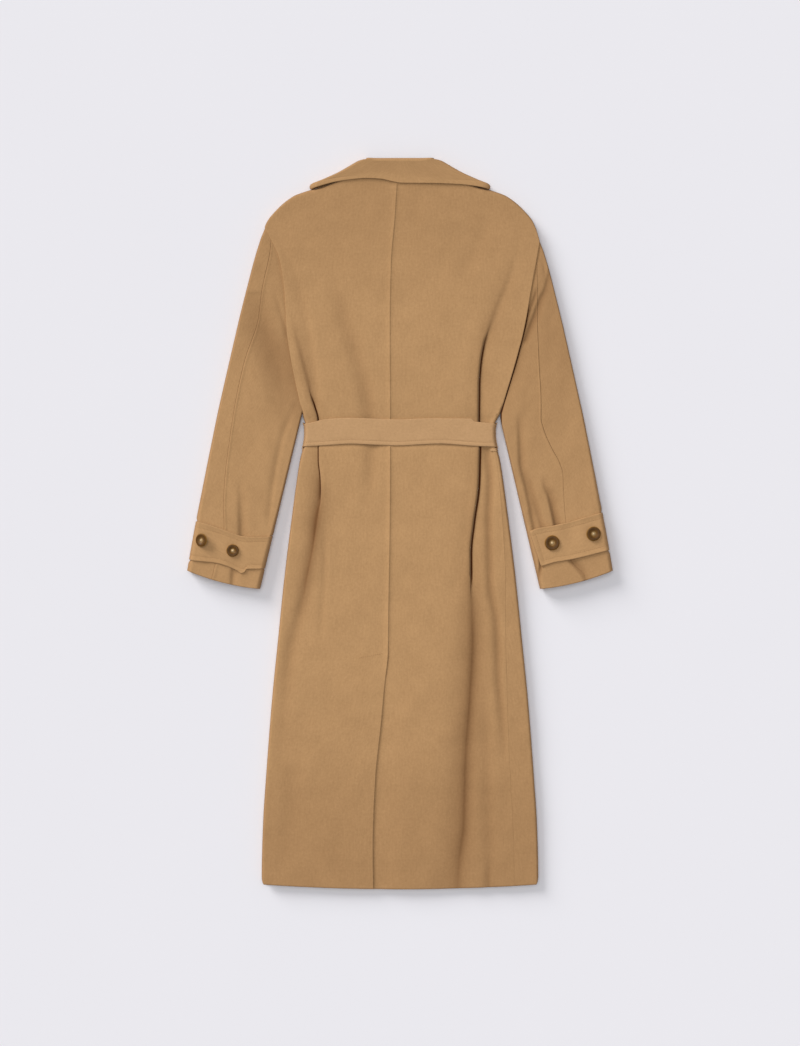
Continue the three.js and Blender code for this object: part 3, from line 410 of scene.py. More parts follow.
# ---------------------------------------------------------------- meshes
def place_object(name, data):
    """A new object in the scene that holds data."""
    thing = bpy.data.objects.new(name, data)
    bpy.context.scene.collection.objects.link(thing)
    return thing


def make_mesh(name, points, faces, uv, slot, painted_shade_mark=None):
    """An object from points in millimetres, four-cornered faces, a UV place and a mark of painted shade for
    each point.
    Nothing reaches down past the table."""
    points = np.maximum(points, [-np.inf, -np.inf, 0])
    mesh = bpy.data.meshes.new(name)
    mesh.vertices.add(len(points))
    mesh.vertices.foreach_set("co", (points * MM).astype(np.float32).ravel())
    mesh.loops.add(faces.size)
    mesh.loops.foreach_set("vertex_index", faces.astype(np.int32).ravel())
    mesh.polygons.add(len(faces))
    mesh.polygons.foreach_set("loop_start", np.arange(0, faces.size, faces.shape[1], dtype=np.int32))
    mesh.update(calc_edges=True)
    layer = mesh.uv_layers.new(name="cloth")
    layer.data.foreach_set("uv", (uv[faces.ravel()] * MM).astype(np.float32).ravel())
    # each point's mark of painted shade goes to the wool material as an attribute
    depth = mesh.attributes.new("painted_shade_mark", "FLOAT", "POINT")
    depth.data.foreach_set("value", np.zeros(len(points), np.float32) if painted_shade_mark is None
                           else painted_shade_mark.astype(np.float32))
    mesh.polygons.foreach_set("use_smooth", np.ones(len(faces), bool))
    mesh.validate()
    piece = place_object(name, mesh)
    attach(piece, ROOT)
    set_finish(piece, slot)
    return piece


def grid_faces(rows, cols, ring=False):
    """Four-cornered faces of a grid of points; a ring joins its last column to its first."""
    number = np.arange(rows * cols).reshape(rows, cols)
    if ring:
        number = np.concatenate([number, number[:, :1]], axis=1)
    a, b = number[:-1, :-1], number[:-1, 1:]
    c, d = number[1:, 1:], number[1:, :-1]
    return np.stack([a, b, c, d], axis=-1).reshape(-1, 4)


def signed_volume(points, faces):
    """Six times the volume inside the faces: above 0 where they point outwards."""
    a, b, c, d = (points[faces[:, n]] for n in range(4))
    return np.sum(np.einsum("ij,ij->i", a, np.cross(b, c)) + np.einsum("ij,ij->i", a, np.cross(c, d)))


def shell(name, outer, inner, uv, slot, bulge=SEAM_ROUND, ring=False, rim_steps=4):
    """Closes two skins on one grid with a rounded rim: half a circle from the outer edge to the inner one,
    bulge times as far out as a true one. A fourth number of an outer point is its mark of painted shade."""
    rows, cols = outer.shape[:2]
    painted_shade_mark = outer[..., 3] if outer.shape[2] == 4 else np.zeros((rows, cols))
    outer, inner = outer[..., :3], inner[..., :3]
    painted_shade_marks = [painted_shade_mark.ravel(), painted_shade_mark.ravel()]
    skin = grid_faces(rows, cols, ring)
    count = rows * cols
    points = [outer.reshape(-1, 3), inner.reshape(-1, 3)]
    places = [uv.reshape(-1, 2), uv.reshape(-1, 2)]
    faces = [skin, skin[:, ::-1] + count]
    last_row, last_col = rows - 1, cols - 1
    if ring:
        loops = [(np.full(cols, 0), np.arange(cols)), (np.full(cols, last_row), np.arange(cols)[::-1])]
    else:
        i = np.concatenate([np.zeros(last_col), np.arange(last_row), np.full(last_col, last_row),
                            np.arange(last_row, 0, -1)]).astype(int)
        j = np.concatenate([np.arange(last_col), np.full(last_row, last_col), np.arange(last_col, 0, -1),
                            np.zeros(last_row)]).astype(int)
        loops = [(i, j)]
    total = 2 * count
    for i, j in loops:
        inward_i = i + (i == 0) - (i == last_row)
        inward_j = j if ring else j + (j == 0) - (j == last_col)
        middle = (outer + inner) / 2
        half = (outer[i, j] - inner[i, j]) / 2
        away = middle[i, j] - middle[inward_i, inward_j]
        length = np.linalg.norm(half, axis=1, keepdims=True)
        away = away - half * np.sum(away * half, axis=1, keepdims=True) / np.maximum(length, 1e-6) ** 2
        away = away / np.maximum(np.linalg.norm(away, axis=1, keepdims=True), 1e-6)
        start = i * cols + j
        before = start
        for angle in math.pi * np.arange(1, rim_steps) / rim_steps:
            loop = middle[i, j] + half * math.cos(angle) + away * length * bulge * math.sin(angle)
            points.append(loop)
            places.append(uv[i, j])
            painted_shade_marks.append(painted_shade_mark[i, j])
            after = total + np.arange(len(i))
            total += len(i)
            faces.append(np.stack([np.roll(before, -1), before, after, np.roll(after, -1)], axis=1))
            before = after
        after = start + count
        faces.append(np.stack([np.roll(before, -1), before, after, np.roll(after, -1)], axis=1))
    points, faces, places = np.concatenate(points), np.concatenate(faces), np.concatenate(places)
    if signed_volume(points, faces) < 0:
        faces = faces[:, ::-1]
    return make_mesh(name, points, faces, places, slot, np.concatenate(painted_shade_marks))


def cloth_piece(name, node, outer, inner, uv, flat, rests_on=("table",), slot="coat_wool", held="laid",
                ring=False, **rim):
    """Closes two skins to a piece and hides the plain solid it stands for. flat, the width and
    length that hold the pattern in millimetres, is not used."""
    piece = shell(name, outer, inner, uv, slot, ring=ring, **rim)
    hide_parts(node)


# ---------------------------------------------------------------- body
def fold_at(number, y):
    """Where a fold of the body crosses the height y."""
    return curve(BODY_FOLDS[number]["line"], y)


def edge_out(sign, y):
    """Half width of the body, or out to the armhole above the underarm."""
    return np.where(y > UNDERARM_Y, curve(ARMHOLE[sign], y), curve(BODY_HALF[sign], y))


def back_height(x, y):
    """The back's height off the table: one line from hem to neck and two gentle unevennesses."""
    return curve(BACK_HEIGHT, y) + 0.35 * drift(x, y, 3, 120) + 0.12 * drift(x, y, 4, 34)


def front_bottom(x, y):
    """Underside of the fronts: they ride over the belt, the lapels and the buttons."""
    out = np.abs(x)
    belt = smooth((51 - np.abs(y - BELT_Y)) / 25) * LAYER
    chest = smooth((LAPEL_RIDE[1] - out) / (LAPEL_RIDE[1] - LAPEL_RIDE[0]))
    lapel = smooth((y - BREAK_Y + 35) / 30) * chest * LAYER
    side = smooth((BUTTON_RIDE[1] - out) / (BUTTON_RIDE[1] - BUTTON_RIDE[0]))
    below = smooth((y - BUTTON_LOW_Y + BUTTON_RAMP) / BUTTON_RAMP)
    return np.maximum(np.maximum(belt, lapel), side * below * (BUTTON_THICK + 0.3))


def left_front_bottom(x, y):
    """As front_bottom, one layer higher where the left front lies over the right one."""
    over = smooth((x + BUTTON_RIDE[1]) / (BUTTON_RIDE[1] - BUTTON_RIDE[0]))
    return front_bottom(x, y) + LAYER * over


def front_edge_out(y):
    """A front's free edge, out from the middle: past it below the break, then straight up to the neck."""
    share = (y - BREAK_Y) / (ROLL_TOP[1] - BREAK_Y)
    return np.where(y < BREAK_Y, -OVERLAP, mix(-OVERLAP, ROLL_TOP[0], share))


def centre_x(y):
    """Place of the centre back seam, and below it of the vent's free edge."""
    return curve(CENTRE_BACK, y)


def seam_ridge(x, y):
    """The seam's turned-in edges lie under the left back, which climbs to the seam over them."""
    climb = np.clip((x - centre_x(y) + 8.5) / 8, 0, 1)
    high = mix(1.7, 1.15, smooth((y - 60) / 200))
    return high * (0.6 * climb**2 + 0.4 * climb) * smooth((y - VENT_TOP_Y + 60) / 60)


def left_back_height(x, y):
    """The back's height with the ridge beside the centre seam."""
    return back_height(x, y) + seam_ridge(x, y)


def right_back_height(x, y):
    """One layer lower beside the vent, where the left back laps over it."""
    under = smooth((centre_x(y) + 1.5 - x) / 3)
    below = mix(smooth((VENT_TOP_Y + 4 - y) / 110), smooth((VENT_TOP_Y + 6 - y) / 12), under)
    beside = smooth(1 - (x - centre_x(y) - 4) / VENT_BLEND)
    seam = np.exp(-np.maximum(x - centre_x(y), 0) / 2.6) * smooth((y - VENT_TOP_Y) / 30)
    high = mix(1.25, 0.75, smooth((y - 60) / 200))
    return back_height(x, y) - (LAYER - 0.6) * below * beside + side_ridge(x, y) + high * seam


def side_ridge(x, y):
    """The right side seam stands up a little: the back climbs to it and the front's strip falls away, each
    as a falling exponential of the distance."""
    inside = edge_out(RIGHT, y) - curve(SIDE_SEAM, y) - x
    rise = np.exp(-np.maximum(inside, 0) / 5 - np.maximum(-inside, 0) / 6)
    return 0.9 * rise * smooth((y + 110) / 60) * smooth((110 - y) / 60)


def strip_height(x, y):
    """The strip of the front that shows beside the right side seam."""
    return back_height(x, y) + side_ridge(x, y) - 0.22


def level_rows(sign, step):
    """Row levels from the hem to the shoulder tip, closer together where the cloth is rounded."""
    tip_y = TIP[sign][1]
    top = tip_y - EDGE_ROUND
    low = HEM_Y + CLOTH * 0.35 + 12 * steps(5, 0.5)
    middle = np.linspace(low[-1], top, int((top - low[-1]) / step) + 1)
    turn = tip_y - EDGE_ROUND * (1 - round_in(7))
    return np.concatenate([low[:-1], middle[:-1], turn])[:, None]


def body_skin(sign, levels, lines, columns, on_top, height, depth, folds=()):
    """Grid of a body panel's skin, depth millimetres in from the outside.

    A column lies at a share between two lines, each of which gives a distance out from the middle for
    a height y. Rows are level below the chest and bend up to the shoulder line above it. The skin rolls
    down to the middle of the coat's thickness at the side edges and at the shoulders."""
    number, share = columns
    tip_out, tip_y = TIP[sign]
    bend = np.clip((levels - BEND_FROM) / (tip_y - BEND_FROM), 0, 1)
    to_edge = np.clip((tip_y - levels) / EDGE_ROUND, 0, 1)
    hem = smooth((-540 - levels) / 50)

    def outs(y):
        """How far out each column is at its own heights y."""
        places = np.stack([line(y) for line in lines])
        column = np.arange(len(number))
        return mix(places[number, :, column], places[number + 1, :, column], share[:, None]).T

    top_out = outs(np.full((1, len(number)), 560.0))
    for _ in range(5):
        top_out = outs(curve(SHOULDER, np.maximum(top_out, 0)))
    top_out = np.minimum(top_out, tip_out)
    shoulder = np.where(on_top, smooth((top_out - 85) / 15), 1.0)
    level = levels - depth * shoulder * (1 - to_edge)
    y = level + bend * (curve(SHOULDER, np.maximum(top_out, 0)) - tip_y)
    out = outs(y)
    edge = edge_out(sign, np.minimum(y, tip_y))
    inset = np.maximum(edge - out, 0)
    turned = np.clip(inset / EDGE_ROUND, 0, 1)
    rolled = 1 - smooth((levels - UNDERARM_Y) / 20)
    out = out - depth * rolled * (1 - turned)
    x = sign * out
    y = y + hem * (HEM_RISE * (out / 214) ** 2 + HEM_CORNER * (1 - quarter(turned)))
    full = (1 - rolled * (1 - quarter(turned))) * (1 - shoulder * (1 - quarter(to_edge)))
    facing = np.where(on_top, -1, 1)
    reach = height(x, y) + facing * depth
    z = mix(EDGE_MIDDLE, reach, full)
    painted_shade_mark = 0 * z
    if len(folds):
        amount = np.where(on_top, full * smooth((inset - 2) / 10), 0)
        past = smooth((x - fold_at(LOWER_RIGHT, y)) / 10)
        x, z, shade, slit = apply_folds(x, y, z, folds, amount, depth > 0)
        # painted shade: the folds' shade and slits, more towards the neck and the hem and on the strip past
        # the long fold
        painted_shade_mark = painted_shade_level(shade + curve(BODY_PAINTED_SHADE, y) + curve(STRIP_PAINTED_SHADE, y) * past, slit)
    # along the armhole the top skin droops over its last millimetres
    droop_from, droop_low = (1.5, 1.0) if sign == RIGHT else (3, 0.2)
    droop = np.where(on_top, (1 - rolled) * (1 - quarter(inset / droop_from)), 0)
    z = z - droop * mix(0.35, droop_low, 1 - smooth((y - 330) / 40))
    return np.stack([x, y, z, painted_shade_mark], axis=-1)


def run_across(skin):
    """Length run along each row of a grid, from its first column."""
    gaps = np.linalg.norm(np.diff(skin, axis=1), axis=-1)
    return np.concatenate([np.zeros((len(skin), 1)), np.cumsum(gaps, axis=1)], axis=1)


def plan_uv(skin):
    """Cloth places in millimetres: across from the first column by arc length, and along y."""
    return np.stack([skin[:, :1, 0] + run_across(skin[..., [0, 2]]), skin[..., 1]], axis=-1)


def round_in(count):
    """Shares over a rounded edge, from where the rounding starts to the very edge."""
    return np.sin(np.linspace(0, math.pi / 2, count + 1))


def round_out(count):
    """Shares over a rounded edge, from the very edge to where the rounding ends."""
    return 1 - np.cos(np.linspace(0, math.pi / 2, count + 1))


def side_edge(sign, inset=0.0):
    """A line that stays inset, a number or a function of y, in from the side edge and the armhole."""
    tip_y = TIP[sign][1]
    return lambda y: edge_out(sign, np.minimum(y, tip_y)) - (inset(y) if callable(inset) else inset)


def within(line, limit, room):
    """A line that keeps room between itself and a limit further out."""
    return lambda y: np.minimum(line(y), limit(y) - room)


def arm_inset(y):
    """A seam's inset above the underarm, and none below it, where the cloth runs on round the side."""
    return np.where(y > UNDERARM_Y, SEAM_INSET, 0.0)


def make_panel(name, node, sign, step, lines, spans, top, heights, flat, rests_on, tucked=(),
               folds=BODY_FOLDS):
    """A panel of the body. Its columns lie between lines out from the middle. The spans numbered in top
    lie on top of the coat and the others beneath, each on its own of the two heights. Above the underarm
    the tucked spans close up into the armhole."""
    levels = level_rows(sign, step)
    columns = across(spans)
    on_top = np.isin(columns[0], top)[None, :]
    above, beneath = heights
    height = lambda x, y: np.where(on_top, above(x, y), beneath(x, y))
    skins = [body_skin(sign, levels, lines, columns, on_top, height, depth, folds) for depth in (0, CLOTH)]
    if tucked:
        first = int(np.sum(levels[:, 0] < UNDERARM_Y))
        skins = [tuck_above(skin, np.isin(columns[0], tucked), first) for skin in skins]
    cloth_piece(name, node, *skins, plan_uv(skins[0]), flat, rests_on)


def make_back_left():
    """From the centre seam out over the left edge and a little way beneath."""
    edge = side_edge(LEFT, arm_inset)
    shelf = side_edge(LEFT, EDGE_ROUND)
    fold = within(lambda y: mix(-fold_at(LOWER_LEFT, y), -fold_at(UPPER_LEFT, y), smooth((y - 147) / 10)),
                  shelf, 8)
    lines = [lambda y: -centre_x(y) + SEAM_INSET, lambda y: fold(y) - 12, fold, shelf, edge,
             side_edge(LEFT, lambda y: curve(SIDE_SEAM, y))]
    spans = [steps(40, 0.8), steps(16, 0.0, 0.8, 0.2), steps(14, 0.7, 0.0, 0.2), round_in(10),
             round_out(11)]
    make_panel("left_back", "back_left", LEFT, 3.3, lines, spans, (0, 1, 2, 3),
               (left_back_height, front_bottom), (250, 1185), ("left_front", "table"), tucked=(4,))


def tuck_above(skin, beneath, first):
    """Above the underarm a panel ends at the armhole: its columns beneath close up into that edge. first
    is the first row above it."""
    skin = skin.copy()
    last_top = np.flatnonzero(~beneath)[-1]
    step = np.arange(1, beneath.sum() + 1)[:, None] * [0, 0, 0.02, 0]
    skin[first:, last_top + 1:] = skin[first:, last_top, None] - step
    return skin


def make_vent_stitches():
    """A short slanting row of stitches holds the top of the vent."""
    t = np.linspace(0, 1, 40)
    x, y = mix(-27.0, -72.0, t), mix(-213.0, -221.5, t)
    line = np.stack([x, y, left_back_height(x, y)], axis=1)
    stitches("vent_stitches", line, line - [0, 0, 1], "coat_wool")


def make_back_right():
    """From the centre seam, or from the vent's underlap, out to the right side seam."""
    lap = lambda y: VENT_LAP * smooth((VENT_TOP_Y + 4 - y) / 8)
    edge = side_edge(RIGHT, lambda y: np.where(y > UNDERARM_Y, SEAM_INSET, curve(SIDE_SEAM, y)))
    shelf = lambda y: edge(y) - EDGE_ROUND
    fold = within(lambda y: np.where(y > BELT_Y, fold_at(UPPER_RIGHT, y), fold_at(LOWER_RIGHT, y)), shelf, 16)
    start = lambda y: centre_x(y) + SEAM_INSET
    lines = [lambda y: start(y) - lap(y), start, fold, shelf, edge]
    spans = [steps(3), steps(54, 0.8, 0.8), steps(22, 0.8, 0.0, 0.2), steps(12, 0, 0.5)]
    make_panel("right_back", "back_right", RIGHT, 3.3, lines, spans, (0, 1, 2, 3),
               (right_back_height, front_bottom), (300, 1185), ("right_front",))


def front_lines(edge, count):
    """The free edge of a front and three lines 40, 100 and 150 out from the middle. Each of the count
    lines inside the edge keeps 6 millimetres to the next one out and 8 to the next one in."""
    free = lambda y: front_edge_out(y) + SEAM_INSET

    def kept(value, place):
        """The line at value, which is the one numbered place from the free edge."""
        return lambda y: np.maximum(np.minimum(value, edge(y) - 6 * (count - place)), free(y) + 8 * place)

    return [free] + [kept(value, place) for place, value in enumerate((40, 100, 150), 1)]


def make_front_right():
    """Beneath from its free edge to the right side, then up over the edge to the side seam on top."""
    shelf = side_edge(RIGHT, EDGE_ROUND)
    turn = lambda y: np.minimum(EDGE_ROUND, curve(SIDE_SEAM, y) - SEAM_INSET - 0.5)
    lines = front_lines(shelf, 4) + [
        shelf, side_edge(RIGHT, arm_inset), lambda y: edge_out(RIGHT, y) - turn(y),
        side_edge(RIGHT, lambda y: curve(SIDE_SEAM, y) + 0.6),
    ]
    spans = [steps(5), steps(4), steps(6), steps(4), round_in(8), round_out(8), steps(12, 0, 0.6)]
    make_panel("right_front", "front_right", RIGHT, 4.5, lines, spans, (5, 6),
               (strip_height, front_bottom), (380, 1185), ("table",), tucked=(5, 6))


def make_front_left():
    """Beneath from its free edge, which lies on the right front, to the left side seam."""
    seam = lambda y: np.where(y > UNDERARM_Y, SEAM_INSET, curve(SIDE_SEAM, y) + SEAM_INSET)
    edge = side_edge(LEFT, seam)
    lines = front_lines(edge, 5) + [lambda y: edge(y) - 10, edge]
    make_panel("left_front", "front_left", LEFT, 6, lines, [steps(5), steps(4), steps(6), steps(4), steps(5)],
               (), (back_height, left_front_bottom), (330, 1185), ("right_front", "table"), folds=())


# ---------------------------------------------------------------- sleeves
def armhole_at(sign, share):
    """Point of the armhole seam at a share of its length from the underarm."""
    y = np.linspace(UNDERARM_Y, TIP[sign][1], 200)
    out = curve(ARMHOLE[sign], y)
    length = np.concatenate([[0], np.cumsum(np.hypot(np.diff(out), np.diff(y)))])
    at = np.clip(share, 0, 1) * length[-1]
    return np.interp(at, length, out), np.interp(at, length, y)


HALVINGS = 24
STRAP_SPAN = {}  # share across the sleeve, and how far along it the strap's upper and lower edges lie


def strapped(sign, along, share, early=0.01):
    """1 where the cuff strap holds the sleeve in; early is how far before the strap's edges that starts."""
    if sign not in STRAP_SPAN:
        return 0.0 * along * share
    at, top, low = STRAP_SPAN[sign]
    upper = np.interp(share, at, top)
    lower = np.interp(share, at, low)
    held = 1 if sign == LEFT else smooth((share - 0.06) / 0.08)
    return held * smooth((along - upper + early) / 0.012) * smooth((lower + early - along) / 0.012)


def sleeve_form(sign, along, share, on_top, depth):
    """Plan place and height of a sleeve's skin: along runs from the armhole to the cuff and share from
    the inner edge to the outer one. The edges are straight with a slight bow; the rows bend to the
    armhole near it. The skin rolls down at both edges to the middle of the sleeve's thickness."""
    start_out, start_y = armhole_at(sign, share)
    low_out, low_y = (float(v) for v in armhole_at(sign, 0.0))
    high_out, high_y = (float(v) for v in armhole_at(sign, 1.0))
    draw = LAYER * strapped(sign, along, share)
    inner_out, inner_y = mix(low_out + 0.5, CUFF_INNER[0], along), mix(low_y, CUFF_INNER[1], along)
    if sign == RIGHT:  # the right sleeve's inner edge starts further in, under the body
        inner_out = inner_out - 3.2 * (1 - np.clip(along, 0, 1)) * (1 - np.exp(-np.maximum(along, 0) / 0.02))
    bow_out = curve(SLEEVE_BOW, along) * (0.9 if sign == RIGHT else 1)
    outer_out = mix(high_out + 0.5, CUFF_OUTER[0], along) + bow_out
    outer_y = mix(high_y, CUFF_OUTER[1], along)
    width = np.hypot(outer_out - inner_out, outer_y - inner_y)
    round_by = curve(SLEEVE_FORM, along, 3)
    from_edge = np.minimum(share, 1 - share) * width
    turned = np.clip(from_edge / round_by, 0, 1)
    inward = (draw + depth) * (1 - turned) * np.where(share < 0.5, 1, -1)
    bow = (1 - np.clip(along, 0, 1)) ** 2
    bend_out = (start_out - mix(low_out, high_out, share)) * bow
    bend_y = (start_y - mix(low_y, high_y, share)) * bow
    sag = CUFF_SAG * 4 * share * (1 - share) * np.clip(along, 0, 1) ** 3
    place = share * width + inward
    out = inner_out + (outer_out - inner_out) / width * place + bend_out
    y = inner_y + (outer_y - inner_y) / width * place + bend_y - sag
    # the top sinks beside the armhole, most on its lower part, and under the strap
    top = curve(SLEEVE_FORM, along)
    lower = 1 - smooth((y - (330 if sign == RIGHT else 290)) / 60)
    away = np.maximum(along, 0) * SLEEVE_LENGTH
    deep, fall = (1.8, 1.6) if sign == RIGHT else (0.25, 1.1)
    top = top - mix(0.6, deep, lower) * np.exp(-((away / 7) ** 2))
    top = top - fall * lower * np.exp(-((away / 45) ** 2)) - 0.9 * strapped(sign, along, share, 0.0)
    reach = np.where(on_top, top - depth, draw + depth)
    full = quarter(turned)
    return sign * out, y, mix(curve(SLEEVE_FORM, along, 2), reach, full), full, width


def hind_share(sign, along):
    """Share across the sleeve where the hind seam's line crosses each row, by halving."""
    low, high = np.full(along.shape, 0.25), np.full(along.shape, 0.97)
    for _ in range(HALVINGS):
        middle = (low + high) / 2
        x, y = sleeve_form(sign, along, middle, True, 0.0)[:2]
        outside = sign * (x - curve(HIND_SEAM[sign], y)) > 0
        high = np.where(outside, middle, high)
        low = np.where(outside, low, middle)
    return (low + high) / 2


def sleeve_skin(sign, along, lines, columns, top_from, top_to, depth):
    """Grid of a sleeve panel's skin, and how far across its columns lie. Columns between the lines
    top_from and top_to are on top. There the cloth is uneven, climbs over the hind seam and has folds;
    shade is painted on it beside the armhole, and the rows before the armhole are tucked in under the body."""
    number, share = columns
    places = np.stack([np.broadcast_to(line(along), along.shape) for line in lines])
    across_share = mix(places[number, :, 0], places[number + 1, :, 0], share[:, None]).T
    on_top = ((number >= top_from) & (number < top_to))[None, :]
    x, y, z, full, width = sleeve_form(sign, along, across_share, on_top, depth)
    z = z + np.where(on_top, 0.3 * drift(x, y, 7, 90) + 0.1 * drift(x, y, 8, 26), 0) * full
    from_seam = (lines[-1](along) - across_share) * width if top_from else np.full(z.shape, -9.0)
    ridge = smooth((from_seam + 0.3) / 1.2) * smooth((6.5 - from_seam) / 3)
    clear = smooth((y - 70) / 60) if sign == RIGHT else 1.0 + 0 * y
    z = z + mix(0.15, 0.6, clear) * ridge * np.where(on_top, full, 0)
    amount = np.where(on_top, full, 0)
    x, z, painted_shade_mark, _ = apply_folds(x, y, z, SLEEVE_FOLDS[sign], amount, depth > 0)
    # painted shade beside the armhole, heavier on its lower part
    lower = 1 - smooth((y - (320 if sign == RIGHT else 290)) / 40)
    past = np.maximum(along, 0) * SLEEVE_LENGTH
    low_painted_shade, high_painted_shade, reach = (0.05, 0.22, 30) if sign == RIGHT else (0.02, 0.34, 50)
    near = mix(low_painted_shade, high_painted_shade, lower) * np.exp(-((past / reach) ** 2))
    # painted shade along the sleeve's rounded edges
    edge_painted_shade = 0.05 * np.exp(-((np.minimum(across_share, 1 - across_share) * width / 5) ** 2))
    painted_shade_mark = painted_shade_mark + np.where(on_top, near * full, 0) + curve(SLEEVE_PAINTED_SHADE[sign], y) + edge_painted_shade
    # the hind seam gets a faint line of painted shade
    if top_from or sign == LEFT:
        faint = mix(0.06, 0.3, clear)
        painted_shade_mark = painted_shade_mark + faint * np.exp(-((from_seam / 0.8) ** 2)) * np.where(on_top, full, 0)
    # on the right the sleeve's first millimetres lie in a slit under the body's edge, whose shade is painted
    # dark
    dark = 1 - smooth((y - 340) / 34) if sign == RIGHT else 0
    beyond = np.minimum(past - 3.1, sign * x - curve(ARMHOLE[sign], y) - 2.1)
    painted_shade_mark = painted_shade_level(painted_shade_mark, dark * smooth(0.5 - beyond / 0.7) * on_top)
    tuck = np.clip(-along / 0.015, 0, 1) * np.where(on_top, full, 0)
    x = x - sign * 9 * tuck
    z = z - 2.2 * tuck + 2.5 * np.clip(-along / 0.002, 0, 1) * np.where(on_top, 0, full)
    return np.stack([x, y, z, painted_shade_mark], axis=-1), across_share * width


def make_sleeve(sign):
    """The upper sleeve from the hind seam over the outer edge to the forearm seam beneath, and the
    under sleeve from there over the inner edge back to the hind seam."""
    along = np.concatenate([[-0.015, -0.008, -0.002], np.linspace(0, 0.012, 10)[:-1],
                            np.linspace(0.012, 1, 188)])[:, None]
    along = np.where(along > 0.999, 1 - 0.0013, along)
    seam = hind_share(sign, along)
    gap = SEAM_INSET / SLEEVE_WIDTH
    round_share = lambda a: curve(SLEEVE_FORM, a, 3) / (SLEEVE_WIDTH + 5)
    turn = round_in(9)
    upper_lines = [lambda a: seam + gap, lambda a: 1 - round_share(a), lambda a: 1.0 + 0 * a,
                   lambda a: 1 - round_share(a), lambda a: FOREARM_SEAM + gap + 0 * a]
    upper_spans = [steps(26, 0.7), turn, round_out(7), steps(12)]
    under_lines = [lambda a: FOREARM_SEAM - gap + 0 * a, round_share, lambda a: 0.0 * a, round_share,
                   lambda a: seam - gap]
    under_spans = [steps(4), turn, round_out(9), steps(42, 0, 0.7)]
    name = SIDE_NAME[sign]
    for part, lines, spans, top, flat in (
        ("upper", upper_lines, upper_spans, (0, 2), (210, 610)),
        ("under", under_lines, under_spans, (2, 4), (170, 590)),
    ):
        columns = across(spans)
        outer, place = sleeve_skin(sign, along, lines, columns, *top, 0)
        inner, _ = sleeve_skin(sign, along, lines, columns, *top, CLOTH)
        u = place[:, :1] + run_across(outer[..., :3])
        uv = np.stack([u, np.broadcast_to(-SLEEVE_LENGTH * along, u.shape)], axis=-1)
        cloth_piece(f"{name}_sleeve_{part}", f"sleeve_{part}_{name}", outer, inner, uv, flat)


# cuff straps, from the inner edge of the sleeve to its outer edge: x, y of the upper and lower edge
STRAP_TOP = {
    LEFT: [(-349, 8), (-330, 3.5), (-318.8, 0.5), (-292.2, -8.3), (-271.6, -16.3), (-259.9, -20.1),
           (-236, -21.4), (-214.2, -20.8), (-205, -20.5)],
    RIGHT: [(205, -14), (214.3, -11.7), (226.9, -7.3), (256.4, -2.1), (282.8, 4.5), (312.3, 13.4),
            (333, 19.3), (345, 22)],
}
STRAP_LOW = {
    LEFT: [(-356, -56), (-339.4, -60.6), (-324.7, -62), (-304, -64.2), (-286.4, -68.6), (-268.8, -76.7),
           (-261.4, -81.2), (-256.5, -79.8), (-252.5, -74), (-233.3, -73.9), (-215, -73)],
    RIGHT: [(225, -70.5), (232.8, -69.1), (253.4, -63.2), (279.8, -58.7), (306.4, -53), (335.9, -45.5),
            (355, -40.5)],
}


def find_strap(sign):
    """How far along the sleeve each strap edge lies, for shares across it, by halving."""
    share = np.linspace(0, 1, 161)[None, :]
    found = []
    for edge in (STRAP_TOP, STRAP_LOW):
        low, high = np.full(share.shape, 0.6), np.full(share.shape, 1.02)
        for _ in range(HALVINGS):
            middle = (low + high) / 2
            x, y = sleeve_form(sign, middle, share, True, 0.0)[:2]
            above = y > curve(edge[sign], x)
            low = np.where(above, middle, low)
            high = np.where(above, high, middle)
        found.append(((low + high) / 2)[0])
    STRAP_SPAN[sign] = (share[0], *found)


